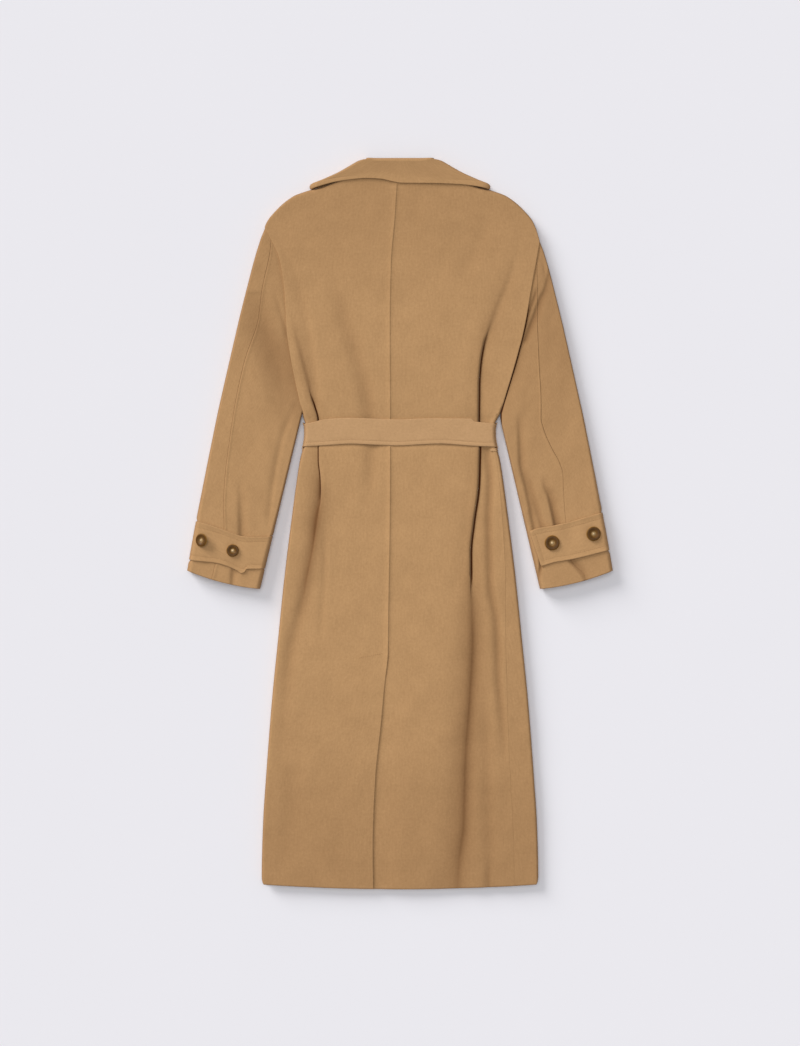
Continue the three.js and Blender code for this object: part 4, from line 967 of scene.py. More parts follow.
def make_cuff_strap(sign):
    """A band round the sleeve, one gap outside it. On top its edges follow the strap's two lines; beneath
    it runs on level with them. Near each edge the band is raised a little outside the stitch line."""
    name = SIDE_NAME[sign]
    round_share = 16.0 / SLEEVE_WIDTH
    to_edge = round_share * (1 - round_in(9))[1:]
    from_edge = round_share * round_out(9)[1:]
    # spans of shares across the sleeve, each on top or beneath: the right strap ends on top, and the left
    # one comes up round the inner edge
    if sign == RIGHT:
        spans = [(mix(0.062, 1 - round_share, steps(70, 0.6)), True)]
    else:
        spans = [(mix(0.3, round_share, steps(6)), False), (to_edge, False), (from_edge, True),
                 (mix(round_share, 1 - round_share, steps(60))[1:], True)]
    end = 0.2 if sign == RIGHT else 0.34
    spans += [(1 - to_edge, True), (1 - from_edge, False),
              (mix(1 - round_share, end, steps(16))[1:], False)]
    share = np.concatenate([s for s, _ in spans])[None, :]
    on_top = np.concatenate([np.full(len(s), t) for s, t in spans])[None, :]
    t = steps(30, 0.5, 0.5, 0.2)[:, None]
    if sign == RIGHT:  # its end is cut a little slanting
        share = share + mix(-0.022, 0.024, t) * np.clip((0.5 - share) / 0.438, 0, 1) * on_top
    at, top_along, low_along = STRAP_SPAN[sign]
    along_at = [np.interp(share, at, top_along), np.interp(share, at, low_along)]
    rim = CLOTH * 0.5 / SLEEVE_LENGTH
    along = mix(along_at[0] + rim, along_at[1] - rim, t)
    skins = []
    for depth in (-LAYER, -(LAYER - CLOTH)):
        x, y, z, full, _ = sleeve_form(sign, along, np.broadcast_to(share, along.shape), on_top, depth)
        if depth == -LAYER:
            edge_away = np.minimum(t, 1 - t) * STRAP_WIDE
            z = z + np.where(on_top, 0.35 * drift(x, y, 11, 40) * full, 0)
            puff = smooth(edge_away / 2.5) * smooth((STITCH_IN - edge_away) / 2.5)
            z = z + (0.16 * puff - 0.3 * stitch_groove(edge_away)) * full * on_top
            if sign == RIGHT:
                end_away = (share - share[:, :1]) * SLEEVE_WIDTH
                z = z - 0.35 * stitch_groove(end_away) * on_top * full
        z = np.where(on_top, z, np.maximum(z, LAYER + depth))
        skins.append(np.stack([x, y, z], axis=-1))
    uv = np.stack([-SLEEVE_LENGTH * along, run_across(skins[0])], axis=-1)
    margin = STITCH_IN / STRAP_WIDE
    for place, edge in ((margin, "upper"), (1 - margin, "lower")):
        stitches(f"{name}_strap_stitches_{edge}", on_row(skins[0], place, t), on_row(skins[1], place, t),
                 "coat_wool")
    if sign == RIGHT:
        column = int(np.argmin(np.abs((share[0] - share[0, 0]) * SLEEVE_WIDTH - STITCH_IN)))
        rows = slice(int(len(t) * margin), int(len(t) * (1 - margin)) + 1)
        stitches(f"{name}_strap_stitches_end", skins[0][rows, column], skins[1][rows, column], "coat_wool")
    cloth_piece(f"{name}_cuff_strap", f"cuff_strap_{name}", *skins, uv, (58, 330),
                (f"{name}_sleeve_upper", "table"), bulge=1.0)


def stitch_groove(away, width=1.0):
    """How far the cloth is drawn in by the stitches of an edge, at a distance away from it."""
    return np.exp(-(((away - STITCH_IN) / width) ** 2))


def stitches(name, outer, inner, slot, pitch=3.4, length=2.5, thick=0.32):
    """Short threads end to end along a line on the cloth, each a small capsule a little sunk into it.

    outer is the line and inner the same line on the inner skin, which gives the way up."""
    gaps = np.linalg.norm(np.diff(outer, axis=0), axis=1)
    run = np.concatenate([[0], np.cumsum(gaps)])
    at = np.arange(pitch, run[-1] - pitch / 2, pitch)

    def along(points, places):
        """Points at places along a line."""
        return np.stack([np.interp(places, run, points[:, n]) for n in range(3)], axis=1)

    middle = along(outer, at)
    ahead = along(outer, at + 0.5) - along(outer, at - 0.5)
    ahead /= np.linalg.norm(ahead, axis=1, keepdims=True)
    up = middle - along(inner, at)
    up -= ahead * np.sum(up * ahead, axis=1, keepdims=True)
    up /= np.linalg.norm(up, axis=1, keepdims=True)
    aside = np.cross(up, ahead)
    t = np.array([-1, -0.8, -0.35, 0.35, 0.8, 1])[:, None]
    angle = np.linspace(0, 2 * math.pi, 7)[None, :-1]
    round_by = thick * np.sqrt(np.maximum(1 - np.abs(t) ** 4, 0.02))
    grid = (middle[:, None, None] + ahead[:, None, None] * (t * length / 2 + 0 * angle)[None, ..., None]
            + aside[:, None, None] * (round_by * np.cos(angle))[None, ..., None]
            + up[:, None, None] * (round_by * np.sin(angle) + 0.12 - 0.3 * t**4)[None, ..., None])
    faces = grid_faces(6, 6, ring=True)
    caps = np.array([[0, 1, 2, 3], [0, 3, 4, 5]])
    faces = np.concatenate([faces, caps[:, ::-1], caps + 30])
    if signed_volume(grid[0].reshape(-1, 3), faces) < 0:
        faces = faces[:, ::-1]
    faces = (faces[None] + (np.arange(len(at)) * 36)[:, None, None]).reshape(-1, 4)
    points = grid.reshape(-1, 3)
    return make_mesh(name, points, faces, points[:, :2], slot)


def on_row(skin, place, t):
    """The line across a grid at a share between its rows, whose shares are t."""
    row = np.interp(place, t[:, 0], np.arange(len(t)))
    low = int(row)
    return mix(skin[low], skin[low + 1], row - low)[:, :3]


# ---------------------------------------------------------------- belt
# the belt's two edges on top: x, y
BELT_TOP_EDGE = [
    (-165, 164), (-144.4, 168), (-119.8, 173.4), (-84.2, 175.2), (-46.2, 174.2), (-2.1, 172.8), (50, 174.6),
    (117, 174.2), (123, 169.2), (140, 167.3), (165, 165),
]
BELT_LOW_EDGE = [
    (-165, 127), (-139, 128.4), (-106, 130.5), (-81.5, 131.8), (-46.2, 130.5), (-2.1, 128.9), (30, 130.5),
    (66, 132), (119, 128.5), (165, 126.5),
]


def make_belt():
    """A closed band round the waist. Its section is a flat loop: level on top and beneath, round at the
    sides. On top the edges follow their two wavy lines, with a stitch line inside the lower one."""
    inset = EDGE_ROUND * round_out(9)
    flat = np.linspace(EDGE_ROUND, 155, 60)[1:]
    half = np.concatenate([inset, flat])
    inset = np.concatenate([half, half[::-1][1:], half[1:], half[::-1][1:-1]])
    n = len(half)
    sign = np.concatenate([np.full(n, RIGHT), np.full(2 * n - 2, LEFT), np.full(n - 2, RIGHT)])
    on_top = np.concatenate([np.full(2 * n - 1, True), np.full(2 * n - 3, False)])
    inset, sign, on_top = inset[None, :], sign[None, :], on_top[None, :]
    t = steps(26, 0.5, 0.5, 0.2)[:, None]
    skins = []
    for depth in (-LAYER, -(LAYER - CLOTH)):
        y = mix(127.5, 165.5, t) + 0 * inset
        edge = edge_out(RIGHT, y)
        out = np.maximum(edge - inset, 0)
        turned = np.clip(inset / EDGE_ROUND, 0, 1)
        x = sign * (out - depth * (1 - turned))
        y_top = mix(curve(BELT_LOW_EDGE, x), curve(BELT_TOP_EDGE, x), t)
        y_top = y_top + (1 - 2 * t) * CLOTH * 0.5
        y = np.where(on_top, y_top, mix(y, y_top, 1 - quarter(turned)))
        reach = np.where(on_top, BELT_REST - depth + 0.25 * drift(x, y, 12, 70), LAYER + depth)
        z = mix(EDGE_MIDDLE, reach, quarter(turned))
        if depth == -LAYER:
            low_away = y - curve(BELT_LOW_EDGE, x)
            puff = smooth(low_away / 2) * smooth((STITCH_IN - low_away) / 3)
            press = 0.2 * puff - 0.4 * stitch_groove(low_away, 0.9)
            z = z + np.where(on_top, press, 0) * quarter(turned)
        skins.append(np.stack([x, y, z], axis=-1))
    u = run_across(skins[0])
    uv = np.stack([np.broadcast_to(t * 2 * BELT_HALF, u.shape), u], axis=-1)
    place = STITCH_IN / (2 * BELT_HALF)
    stitches("belt_stitches", on_row(skins[0], place, t), on_row(skins[1], place, t), "belt_wool")
    cloth_piece("waist_belt", "belt", *skins, uv, (46, 655), ("left_back", "right_back", "table"),
                "belt_wool", ring=True, bulge=1.0)


def make_belt_loop(sign):
    """A narrow band over the belt at the side, its two ends sewn to the coat above and below it. Across, it
    follows the coat's rounded side from one angle to another: 0 is the outermost line, 90 degrees the top,
    and past that it lies flat. The right one's lower end shows as a small tab under the belt."""
    name = SIDE_NAME[sign]
    t = np.linspace(0, 1, 70)[:, None]
    s = np.linspace(0, 1, 17)[None, :]
    y = mix(120.5, 167.0, t) + 0 * s
    turned = 0.62  # share across by which the band has gone round
    tab = smooth((126.5 - y) / 4) if sign == RIGHT else 0 * y
    reach_in = 7.5 * tab * smooth((s - turned) / (1 - turned))
    angle = np.radians(mix(-36, mix(15, 90, tab), np.minimum(s / turned, 1)))
    over = smooth((y - 122.5) / 5) * smooth((171 - y) / 4)
    skins = []
    for depth in (0, 1.3):
        lift = 1.0 + 2.4 * over - depth
        edge = edge_out(RIGHT, y)
        out = edge - EDGE_ROUND * (1 - np.cos(angle)) + lift * np.cos(angle) - reach_in
        height = mix(curve(BACK_HEIGHT, y) - 0.6, BELT_REST, smooth(over)) + lift
        reach = np.where(angle > 0, height, 2.4 * over - lift + 0.4)
        z = mix(EDGE_MIDDLE, reach, np.abs(np.sin(angle)))
        skins.append(np.stack([sign * out, y, z], axis=-1))
    uv = np.stack([s * 10 + 0 * t, y], axis=-1)
    cloth_piece(f"{name}_belt_loop", f"belt_loop_{name}", *skins, uv, (14, 66),
                ("waist_belt", f"{name}_back"), "belt_wool", bulge=1.0)


# ---------------------------------------------------------------- collar and lapels
COLLAR_FOLD_Y = 603.2
# the collar's slanting ends, from the leaf's tip to the fold: share, out from the middle, y
COLLAR_END = [
    (0, 148.6, 554.5), (0.035, 149.4, 558), (0.08, 146.6, 562), (0.13, 140, 565), (0.2, 130.5, 568.6),
    (0.3, 119, 573.6), (0.45, 104, 580.4), (0.6, 89.5, 588.4), (0.75, 77, 595.8), (0.88, 66.5, 601),
    (1, 56, 603),
]
# lower edge of the leaf: x, y
COLLAR_LEAF = [
    (-148.5, 553.5), (-135.3, 557.2), (-112.2, 563.6), (-89.1, 567.6), (-54.5, 570.6), (-31.4, 569.4),
    (-12.5, 565.3), (3.3, 562.8), (49.5, 562.4), (96.4, 560.7), (119.5, 558.4), (142.6, 554.6),
    (149.5, 553.5),
]
COLLAR_TOP = 22.4  # height of the fold off the table
LEAF_TOP = 19.0  # height of the leaf's edge
COLLAR_MIDDLE = 11.0  # height of the middle of the slanting ends
COLLAR_POINT = (120.0, 500.0)  # the fall's front corner beneath: out from the middle, y
GORGE = (34.0, 537.0)  # where the collar meets the lapel
COLLAR_TURN = 0.09  # share of the half width over which the collar rounds down at its slanting ends


def make_collar():
    """The fall runs from its point under one shoulder, round the slanting end, across the back and down the
    other side. Across it runs from the leaf's edge up to the fold and round the fold to the inside.

    On the back a point lies between the leaf's edge and the fold, s from end to end and t from edge to
    fold, and is moved so that the ends follow their own curve. There the cloth rounds down and under."""
    turn_up = np.linspace(-math.pi / 2, math.pi / 2, 19)
    front = np.linspace(1, 0, 14)[:-1]
    flat = np.linspace(-1, 1, 150)[1:-1] * (1 - COLLAR_TURN)
    # one row each: share from end to end, angle (90 degrees on top, 0 at the very end, -90 beneath), share
    # of the way on to the front edge
    left = np.concatenate([
        np.stack([0 * front - (1 - COLLAR_TURN), 0 * front - math.pi / 2, front], axis=1),
        np.stack([COLLAR_TURN * (1 - np.cos(turn_up)) - 1, turn_up, 0 * turn_up], axis=1),
    ])
    right = left[::-1] * [-1, 1, 1]
    middle = np.stack([flat, 0 * flat + math.pi / 2, 0 * flat], axis=1)
    rows = np.concatenate([left, middle, right])
    s, angle, on_front = rows[:, :1], rows[:, 1:2], rows[:, 2:]
    t = np.concatenate([steps(28, 0.6), 1 + np.linspace(0, 1, 10)[1:]])[None, :]
    flat_t, turn = np.minimum(t, 1), np.clip(t - 1, 0, 1) * math.radians(165)
    wide = smooth((1 - np.abs(s)) / 0.35)
    skins = []
    for depth in (0, CLOTH):
        fold = mix(1.3, 5.2, wide)
        radius = fold - depth * mix(0.4, 1, wide)
        end_out, end_y = curve(COLLAR_END, flat_t), curve(COLLAR_END, flat_t, 2)
        tip_out, tip_y = COLLAR_END[0][1:]
        top_out, top_y = COLLAR_END[-1][1:]
        bent_out = end_out - mix(tip_out, top_out, flat_t)
        bent_y = end_y - mix(tip_y, top_y, flat_t)
        inward = depth / 0.48 / end_out
        side = np.abs(s) + 0 * t
        side = np.where(side > 1 - COLLAR_TURN, 1 - inward - (1 - side) * (1 - inward / COLLAR_TURN), side)
        side = side * np.sign(s)
        leaf_x = side * tip_out
        x = mix(leaf_x, side * top_out, flat_t) + side * bent_out
        fold_y = COLLAR_FOLD_Y - fold
        y = mix(curve(COLLAR_LEAF, leaf_x), fold_y + 0 * x, flat_t) + bent_y * np.abs(side) ** 3
        top = mix(LEAF_TOP, COLLAR_TOP, flat_t**1.6) + 0.3 * drift(x, y, 15, 60)
        # a second line, sewn beside the leaf's edge, is sunk in near the two ends
        sewn = smooth((np.abs(s) - 0.5) / 0.25) * np.exp(-(((flat_t - 0.14) / 0.03) ** 2))
        top = top - 0.4 * sewn
        reach = np.where(angle > 0, top - depth, depth)
        z = mix(COLLAR_MIDDLE, reach, np.abs(np.sin(angle)))
        base_x = np.sign(s) * mix(COLLAR_POINT[0], GORGE[0], flat_t)
        base_y = mix(COLLAR_POINT[1], GORGE[1], flat_t)
        x, y = mix(x, base_x, on_front), mix(y, base_y, on_front)
        y = y + radius * np.sin(turn)
        z = z - np.sin(angle) * radius * (1 - np.cos(turn))
        skins.append(np.stack([x, y, z], axis=-1))
    outer, inner = skins
    run = np.linalg.norm(np.diff(outer, axis=0), axis=-1)[:, 5:6]
    u = np.concatenate([[[0]], np.cumsum(run, axis=0)], axis=0)
    v = np.concatenate([[0], np.cumsum(np.linalg.norm(np.diff(outer[len(outer) // 2], axis=0), axis=-1))])
    uv = np.stack([u + 0 * v[None, :], 0 * u + v[None, :]], axis=-1)
    # painted shade on the collar: least near the leaf's edge, more towards the fold
    shade = (0.02 + 0.07 * smooth((t - 0.12) / 0.3) + 0 * s)[..., None]
    shaded = np.concatenate([outer, shade], axis=-1)
    cloth_piece("collar", "collar_fall", shaded, inner, uv, (96, 480), ("left_back", "right_back", "table"),
                held="folded", bulge=1.0, rim_steps=6)


def make_stand():
    """A plain band from the neck seam up into the collar's fold."""
    t = np.linspace(0, 1, 8)[:, None]
    s = np.linspace(-1, 1, 30)[None, :]
    half = mix(78, 34, t)
    skins = []
    for depth in (0, CLOTH):
        x = s * half
        y = mix(curve(SHOULDER, np.abs(s) * 78) + 1.2, 592 + 0 * s, t)
        z = 16.0 - depth + 0 * x
        skins.append(np.stack([x, y + 0 * x, z], axis=-1))
    cloth_piece("collar_band", "collar_stand", *skins, skins[0][..., :2], (160, 26),
                ("left_back", "right_back"))


# lapels, flat beneath: roll line and outer edge from the gorge to the break, out from the middle, y
LAPEL = {
    LEFT: {"roll": [(44, 531.8), (30, 505), (3, 456), (22, 426)],
           "edge": [(98, 509), (148, 482), (112, 432), (42, 396)], "flat": (150, 160)},
    RIGHT: {"roll": [(44, 531.8), (8, 468), (-38, 390), (-84, 315)],
            "edge": [(98, 509), (148, 482), (112, 432), (-80, 313)], "flat": (150, 270)},
}


def make_lapel(sign):
    """A flat piece between two lines of four points, rows from the gorge to the break and columns from the
    roll line to the outer edge."""
    name = SIDE_NAME[sign]
    t = np.linspace(0, 1, 40)[:, None]
    s = np.linspace(0, 1, 16)[None, :]
    key = [0, 0.3, 0.6, 1]  # share of the way down at each of the four points
    sides = []
    for edge in ("roll", "edge"):
        points = np.array(LAPEL[sign][edge], float)
        sides.append([np.interp(t, key, points[:, n]) for n in (0, 1)])
    x = sign * mix(sides[0][0], sides[1][0], s)
    y = mix(sides[0][1], sides[1][1], s)
    skins = [np.stack([x, y, 0 * x + z], axis=-1) for z in (0.1, 0.1 + CLOTH)]
    cloth_piece(f"{name}_lapel", f"lapel_{name}", *skins, skins[0][..., :2], LAPEL[sign]["flat"], bulge=1.0)


# ---------------------------------------------------------------- buttons
HOLE_OUT, HOLE_RADIUS = 2.2, 0.9
THREAD_RADIUS = 0.42
RIM_PLACE = 500.0  # UV place of a button's rim, out from its middle
THREAD_PLACE = 900.0  # a thread's UV place, far past the rim, where the horn's ramp is palest
# side, place on the cuff, (x, y), radius, tilt in radians
CUFF_BUTTONS = [
    ("left", "inner", (-275.4, -43.6), 10.3, 0.0), ("left", "outer", (-325.8, -26.6), 11.0, -0.5),
    ("right", "inner", (250.4, -31.0), 12.4, 0.0), ("right", "outer", (318.4, -16.0), 12.0, 0.08),
]
FRONT_BUTTON_X = 62.0
FRONT_BUTTON_ROWS = (270, 40, -80)
FRONT_BUTTON_RADIUS = 14


def button_disc(radius):
    """A disc on a polar grid. Its face climbs out of a dish to a ring and falls to the rim, with four
    sewing holes sunk into the dish, and its underside is flat but for the rim."""
    ring = np.concatenate([np.linspace(0, 0.62, 24), 0.62 + 0.38 * steps(14, 0, 0.7)[1:]])[:, None]
    spoke = np.linspace(0, 2 * math.pi, 73)[None, :-1]
    x, y = radius * ring * np.cos(spoke), radius * ring * np.sin(spoke)
    top = BUTTON_THICK * (0.5 + 0.45 * smooth((ring - 0.15) / 0.6) - 0.4 * smooth((ring - 0.82) / 0.18) ** 2)
    for n in range(4):
        hole = math.pi / 4 + n * math.pi / 2
        away = np.hypot(x - HOLE_OUT * math.cos(hole), y - HOLE_OUT * math.sin(hole))
        top = top - 1.6 * smooth((HOLE_RADIUS + 0.15 - away) / 0.3)
    bottom = BUTTON_THICK * 0.42 * smooth((ring - 0.8) / 0.2) ** 2 * 0.9
    under = np.stack([x, y, bottom + 0 * x], -1)[::-1]
    rows = np.concatenate([np.stack([x, y, top], -1), under[:14], under[14::8]])
    points = rows.reshape(-1, 3)
    return points, grid_faces(*rows.shape[:2], ring=True), points[:, :2] / radius * RIM_PLACE


def button_threads():
    """Two crossed pairs of threads, each a thin tube that arches over the dish from hole to hole."""
    path = np.linspace(-1, 1, 15)[:, None]
    around = np.linspace(0, 2 * math.pi, 9)[None, :-1]
    threads = []
    for slant in (math.pi / 4, -math.pi / 4):
        for shift in (-THREAD_RADIUS, THREAD_RADIUS):
            lift = BUTTON_THICK * 0.5 + 0.55 * (1 - path**4) + (0.25 if slant > 0 else 0) - 0.35 * path**6
            run = path * (HOLE_OUT + 0.2) + 0 * around
            aside = shift + THREAD_RADIUS * np.cos(around) + 0 * path
            tube = np.stack([run * math.cos(slant) - aside * math.sin(slant),
                             run * math.sin(slant) + aside * math.cos(slant),
                             lift + THREAD_RADIUS * np.sin(around)], -1)
            faces = grid_faces(15, 8, ring=True)
            threads.append((tube.reshape(-1, 3), faces, np.full((120, 2), THREAD_PLACE)))
    return threads


def make_button(name, node, radius, centre, horn, tilt=0.0, face=1):
    """A disc and its threads as one mesh, turned by tilt about y. face is 1 for a button that looks up
    and -1 for one that looks down."""
    turn = np.array([[math.cos(tilt), 0, math.sin(tilt)], [0, 1, 0], [-math.sin(tilt), 0, math.cos(tilt)]])
    points, all_faces, places, total = [], [], [], 0
    for local, faces, uv in [button_disc(radius)] + button_threads():
        if signed_volume(local, faces) < 0:
            faces = faces[:, ::-1]
        points.append(local * [1, face, face] @ turn.T + centre)
        all_faces.append(faces + total)
        places.append(uv)
        total += len(local)
    piece = make_mesh(name, np.concatenate(points), np.concatenate(all_faces), np.concatenate(places),
                      "horn_buttons")
    piece.data.materials.append(horn)
    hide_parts(node)


def make_buttons(horn):
    """Two buttons on each cuff, on the height of their solids, and three on each front, face down."""
    for side, place, (x, y), radius, tilt in CUFF_BUTTONS:
        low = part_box(f"cuff_button_{side}_{place}")[0]
        z = low.z / MM - 0.9 + 6.6 * abs(math.sin(tilt))
        make_button(f"{side}_cuff_button_{place}", f"cuff_button_{side}_{place}", radius,
                    np.array([x, y, z]), horn, tilt)
    for sign, side in SIDE_NAME.items():
        for number, y in enumerate(FRONT_BUTTON_ROWS, 1):
            centre = np.array([FRONT_BUTTON_X * sign, y, BUTTON_THICK])
            make_button(f"{side}_front_button_{number}", f"front_button_{side}_{number}",
                        FRONT_BUTTON_RADIUS, centre, horn, face=-1)


# ---------------------------------------------------------------- materials
def fill_inputs(tree, node, inputs):
    """Sets a node's inputs to numbers or colours, and joins them to outputs of other nodes."""
    for name, value in inputs.items():
        if isinstance(value, bpy.types.NodeSocket):
            tree.links.new(value, node.inputs[name])
        else:
            node.inputs[name].default_value = value


def add_node(tree, kind, inputs, operation=None):
    """A new node with its inputs filled."""
    node = tree.nodes.new(kind)
    if operation:
        node.operation = operation
    fill_inputs(tree, node, inputs)
    return node


def math_node(tree, operation, *values):
    """One step of arithmetic on numbers or outputs."""
    return add_node(tree, "ShaderNodeMath", dict(enumerate(values)), operation)


def multiply_colours(tree, factor, first, second):
    """first times second, as far as factor says."""
    node = tree.nodes.new("ShaderNodeMix")
    node.data_type = "RGBA"
    node.blend_type = "MULTIPLY"
    fill_inputs(tree, node, {"Factor": factor, 6: first, 7: second})
    return node.outputs[2]


def cloth_place(tree):
    """The cloth's own places, which its UV map holds in metres."""
    place = tree.nodes.new("ShaderNodeUVMap")
    place.uv_map = "cloth"
    return place.outputs["UV"]


def start_material(name, roughness, specular):
    """A material with a plain shader, its tree and the shader."""
    material = bpy.data.materials.new(name)
    material.use_nodes = True
    shader = material.node_tree.nodes["Principled BSDF"]
    shader.inputs["Roughness"].default_value = roughness
    shader.inputs["Specular IOR Level"].default_value = specular
    return material, material.node_tree, shader


def wool_group():
    """Felted wool on cloth places: cloudy tone, short vertical streaks, fine nap and a few dark flecks."""
    group = bpy.data.node_groups.new("felted_wool", "ShaderNodeTree")
    for name, kind, value in (
        ("Wool Colour", "NodeSocketColor", (0.4, 0.24, 0.11, 1)), ("Cloud", "NodeSocketFloat", 0.055),
        ("Streak", "NodeSocketFloat", 0.055), ("Nap", "NodeSocketFloat", 0.075),
        ("Fleck", "NodeSocketFloat", 0.5),
    ):
        socket = group.interface.new_socket(name, in_out="INPUT", socket_type=kind)
        socket.default_value = value
    group.interface.new_socket("Colour", in_out="OUTPUT", socket_type="NodeSocketColor")
    group.interface.new_socket("Height", in_out="OUTPUT", socket_type="NodeSocketFloat")
    enter = group.nodes.new("NodeGroupInput").outputs
    leave = group.nodes.new("NodeGroupOutput").inputs
    place = cloth_place(group)

    def noise(scale, detail, roughness, stretch=(1, 1, 1), distortion=0.0):
        """A noise on the cloth's own places, from 0 to 1."""
        mapping = add_node(group, "ShaderNodeMapping", {"Scale": stretch, "Vector": place})
        return add_node(group, "ShaderNodeTexNoise", {
            "Scale": scale, "Detail": detail, "Roughness": roughness, "Distortion": distortion,
            "Vector": mapping.outputs["Vector"],
        }).outputs["Fac"]

    def step(operation, *values):
        """The output of one step of arithmetic in the group."""
        return math_node(group, operation, *values).outputs["Value"]

    def swing(value, amount):
        """value from 0 to 1 made into amount times -1 to 1."""
        return step("MULTIPLY", step("MULTIPLY_ADD", value, 4.0, -2.0), amount)

    cloud = noise(22, 3, 0.6)
    streak = noise(60, 3, 0.65, (6.0, 1, 1), 0.4)
    fine = noise(235, 3, 0.62)
    hair = noise(240, 2, 0.6, (3.0, 1, 1), 0.6)
    total = step("ADD", swing(cloud, enter["Cloud"]), swing(streak, enter["Streak"]))
    total = step("ADD", total, swing(fine, enter["Nap"]))
    # flecks: a small spot in the middle of a few cells
    fleck = add_node(group, "ShaderNodeTexVoronoi", {"Scale": 26, "Vector": place}).outputs
    near = step("LESS_THAN", fleck["Distance"], 0.026)
    chance = add_node(group, "ShaderNodeSeparateColor", {"Color": fleck["Color"]}).outputs["Red"]
    rare = step("LESS_THAN", chance, 0.035)
    mark = step("MULTIPLY", step("MULTIPLY", near, rare), enter["Fleck"])
    bright = step("SUBTRACT", step("ADD", total, 1.0), mark)
    # dark wool is a little redder than light wool
    tone = group.nodes.new("ShaderNodeCombineColor")
    for channel, bend in (("Red", 0.92), ("Green", 1.0), ("Blue", 1.12)):
        group.links.new(step("POWER", bright, bend), tone.inputs[channel])
    colour = multiply_colours(group, 1, enter["Wool Colour"], tone.outputs["Color"])
    group.links.new(colour, leave["Colour"])
    height = step("ADD", step("MULTIPLY", fine, 0.6), step("MULTIPLY", hair, 0.5))
    height = step("ADD", height, step("MULTIPLY", streak, 0.5))
    group.links.new(height, leave["Height"])
    return group


def wool_material(name, group, colour, streak):
    """Dull felted cloth with a soft sheen; its pattern comes from the shared wool group. Three stages of
    painted shade make it darker: where it turns away from the eye, in a shade, and in a slit."""
    material, tree, shader = start_material(name, 0.95, 0.15)
    wool = tree.nodes.new("ShaderNodeGroup")
    wool.node_tree = group
    fill_inputs(tree, wool, {"Wool Colour": (*colour, 1), "Streak": streak})
    # painted shade: the colour darkens where the surface turns away from the eye
    facing = add_node(tree, "ShaderNodeLayerWeight", {"Blend": 0.5})
    painted_shade_mark = tree.nodes.new("ShaderNodeAttribute")
    painted_shade_mark.attribute_name = "painted_shade_mark"
    source = wool.outputs["Colour"]
    slit = 1 / (2 - SHADE_TOP)
    # each stage multiplies in a colour of painted shade: turning away, the folds' shade, then a slit's dark
    for factor, amount, less, shade in (
        (facing.outputs["Facing"], 0.75, 0, (0.5, 0.42, 0.36, 1)),
        (painted_shade_mark.outputs["Fac"], 0.85, 0, (0.36, 0.28, 0.22, 1)),
        (painted_shade_mark.outputs["Fac"], slit, SHADE_TOP * slit, (0.42, 0.24, 0.09, 1)),
    ):
        much = math_node(tree, "MULTIPLY_ADD", factor, amount, -less)
        much.use_clamp = True
        source = multiply_colours(tree, much.outputs["Value"], source, shade)
    tree.links.new(source, shader.inputs["Base Color"])
    bump = add_node(tree, "ShaderNodeBump",
                    {"Strength": 0.5, "Distance": 0.0006, "Height": wool.outputs["Height"]})
    fill_inputs(tree, shader, {
        "Normal": bump.outputs["Normal"], "Sheen Weight": 0.12, "Sheen Roughness": 0.5,
        "Sheen Tint": (0.95, 0.85, 0.7, 1),
    })
    return material


def horn_material():
    """Polished horn: a ramp over the distance from a button's middle, dark in the ring between a dish with a
    painted highlight and an amber rim, partly painted light, with slow swirls. Past the rim's value the ramp
    holds the thread's pale colour."""
    material, tree, shader = start_material("polished_horn", 0.42, 0.16)
    length = add_node(tree, "ShaderNodeVectorMath", {0: cloth_place(tree)}, "LENGTH")
    ramp = add_node(tree, "ShaderNodeValToRGB", {"Fac": length.outputs["Value"]})
    # the pale middle of the ramp is a painted highlight and the amber rim at 0.5 is partly painted light; the
    # dark ring between is the horn's own colour
    stops = ((0.0, (0.5, 0.35, 0.18, 1)), (0.1, (0.36, 0.22, 0.085, 1)), (0.2, (0.13, 0.06, 0.012, 1)),
             (0.36, (0.075, 0.03, 0.004, 1)), (0.45, (0.11, 0.047, 0.007, 1)), (0.5, (0.3, 0.15, 0.03, 1)),
             (0.8, (0.62, 0.46, 0.26, 1)))
    elements = ramp.color_ramp.elements
    elements[0].position, elements[0].color = stops[0]
    elements[1].position, elements[1].color = stops[-1]
    for position, colour in stops[1:-1]:
        elements.new(position).color = colour
    own_place = tree.nodes.new("ShaderNodeTexCoord").outputs["Object"]
    swirl = add_node(tree, "ShaderNodeTexNoise",
                     {"Vector": own_place, "Scale": 130, "Detail": 3, "Distortion": 1.6})
    gain = math_node(tree, "MULTIPLY_ADD", swirl.outputs["Fac"], 1.6, 0.25)
    colour = multiply_colours(tree, 0.75, ramp.outputs["Color"], gain.outputs["Value"])
    tree.links.new(colour, shader.inputs["Base Color"])
    return material


def floor_material():
    """A dull pale ground, a little cloudy."""
    material, tree, shader = start_material("pale_table", 0.9, 0.1)
    own_place = tree.nodes.new("ShaderNodeTexCoord").outputs["Object"]
    noise = add_node(tree, "ShaderNodeTexNoise", {"Vector": own_place, "Scale": 3})
    ramp = add_node(tree, "ShaderNodeValToRGB", {"Fac": noise.outputs["Fac"]})
    ramp.color_ramp.elements[0].color = (0.798, 0.794, 0.838, 1)
    ramp.color_ramp.elements[1].color = (0.808, 0.804, 0.848, 1)
    tree.links.new(ramp.outputs["Color"], shader.inputs["Base Color"])
    return material


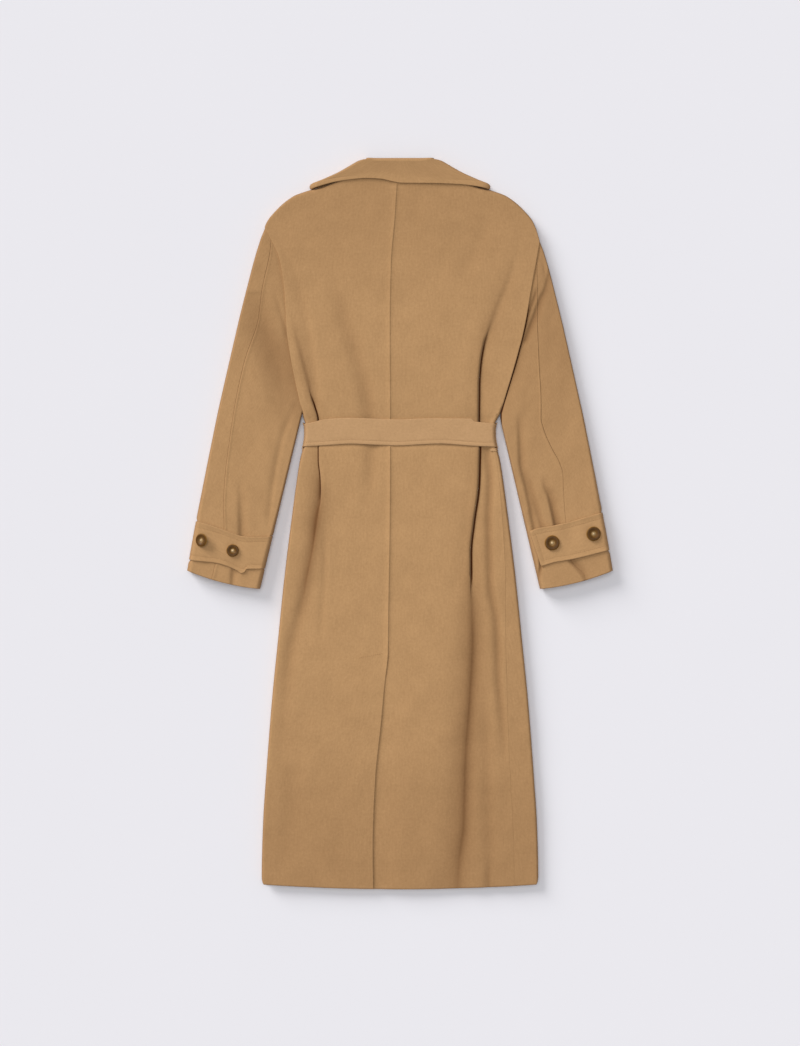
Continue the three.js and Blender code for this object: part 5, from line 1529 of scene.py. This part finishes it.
# ---------------------------------------------------------------- the coat
make_back_left()
make_vent_stitches()
make_back_right()
make_front_right()
make_front_left()
for coat_side in (LEFT, RIGHT):
    find_strap(coat_side)
    make_sleeve(coat_side)
    make_cuff_strap(coat_side)
    make_belt_loop(coat_side)
    make_lapel(coat_side)
make_belt()
make_collar()
make_stand()
make_buttons(horn_material())

felted = wool_group()
finish = {
    "coat_wool": wool_material("camel_wool", felted, (0.458, 0.266, 0.1215), 0.055),
    "belt_wool": wool_material("belt_wool", felted, (0.497, 0.2975, 0.1465), 0.03),
}
for thing in list(bpy.context.scene.objects):
    if thing.type == "MESH" and thing.get("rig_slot") in finish and "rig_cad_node" not in thing:
        thing.data.materials.clear()
        thing.data.materials.append(finish[thing["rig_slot"]])

# ---------------------------------------------------------------- table, light and camera
half_floor = 30.0  # metres
table = bpy.data.meshes.new("table")
table.from_pydata([(-half_floor, -half_floor, 0), (half_floor, -half_floor, 0), (half_floor, half_floor, 0),
                   (-half_floor, half_floor, 0)], [], [(0, 1, 2, 3)])
table.materials.append(floor_material())
place_object("table", table)


def sun(name, azimuth, elevation, strength, spread, colour):
    """A soft sun that shines from azimuth (0 = from +Y, 90 = from +X) and elevation, in degrees."""
    light = bpy.data.lights.new(name, "SUN")
    light.energy = strength
    light.angle = math.radians(spread)
    light.color = colour
    turn = (math.radians(90 - elevation), 0, math.radians(180 - azimuth))
    place_object(name, light).rotation_euler = turn


sun("overhead", -30, 84, 1.2, 40, (1.0, 0.99, 0.98))
sun("side", -45, 23, 2.75, 30, (1.0, 0.985, 0.97))
world = bpy.data.worlds.new("studio")
world.use_nodes = True
world.node_tree.nodes["Background"].inputs["Color"].default_value = (0.98, 0.985, 1.0, 1)
world.node_tree.nodes["Background"].inputs["Strength"].default_value = 0.31
bpy.context.scene.world = world
bpy.context.scene.view_settings.view_transform = "Standard"

camera_height = 4.2  # metres above the middle of the coat's thickness
frame_height = 1725.9 * MM  # what the view takes in, from its lower edge to its upper one
camera = bpy.data.cameras.new("overhead")
camera.sensor_width = 36
camera.lens = camera.sensor_width * camera_height / frame_height
camera.clip_end = 50
view = place_object("overhead", camera)
view.location = (0, 1.65 * MM, camera_height + 12 * MM)
bpy.context.scene.camera = view

bpy.context.view_layer.update()
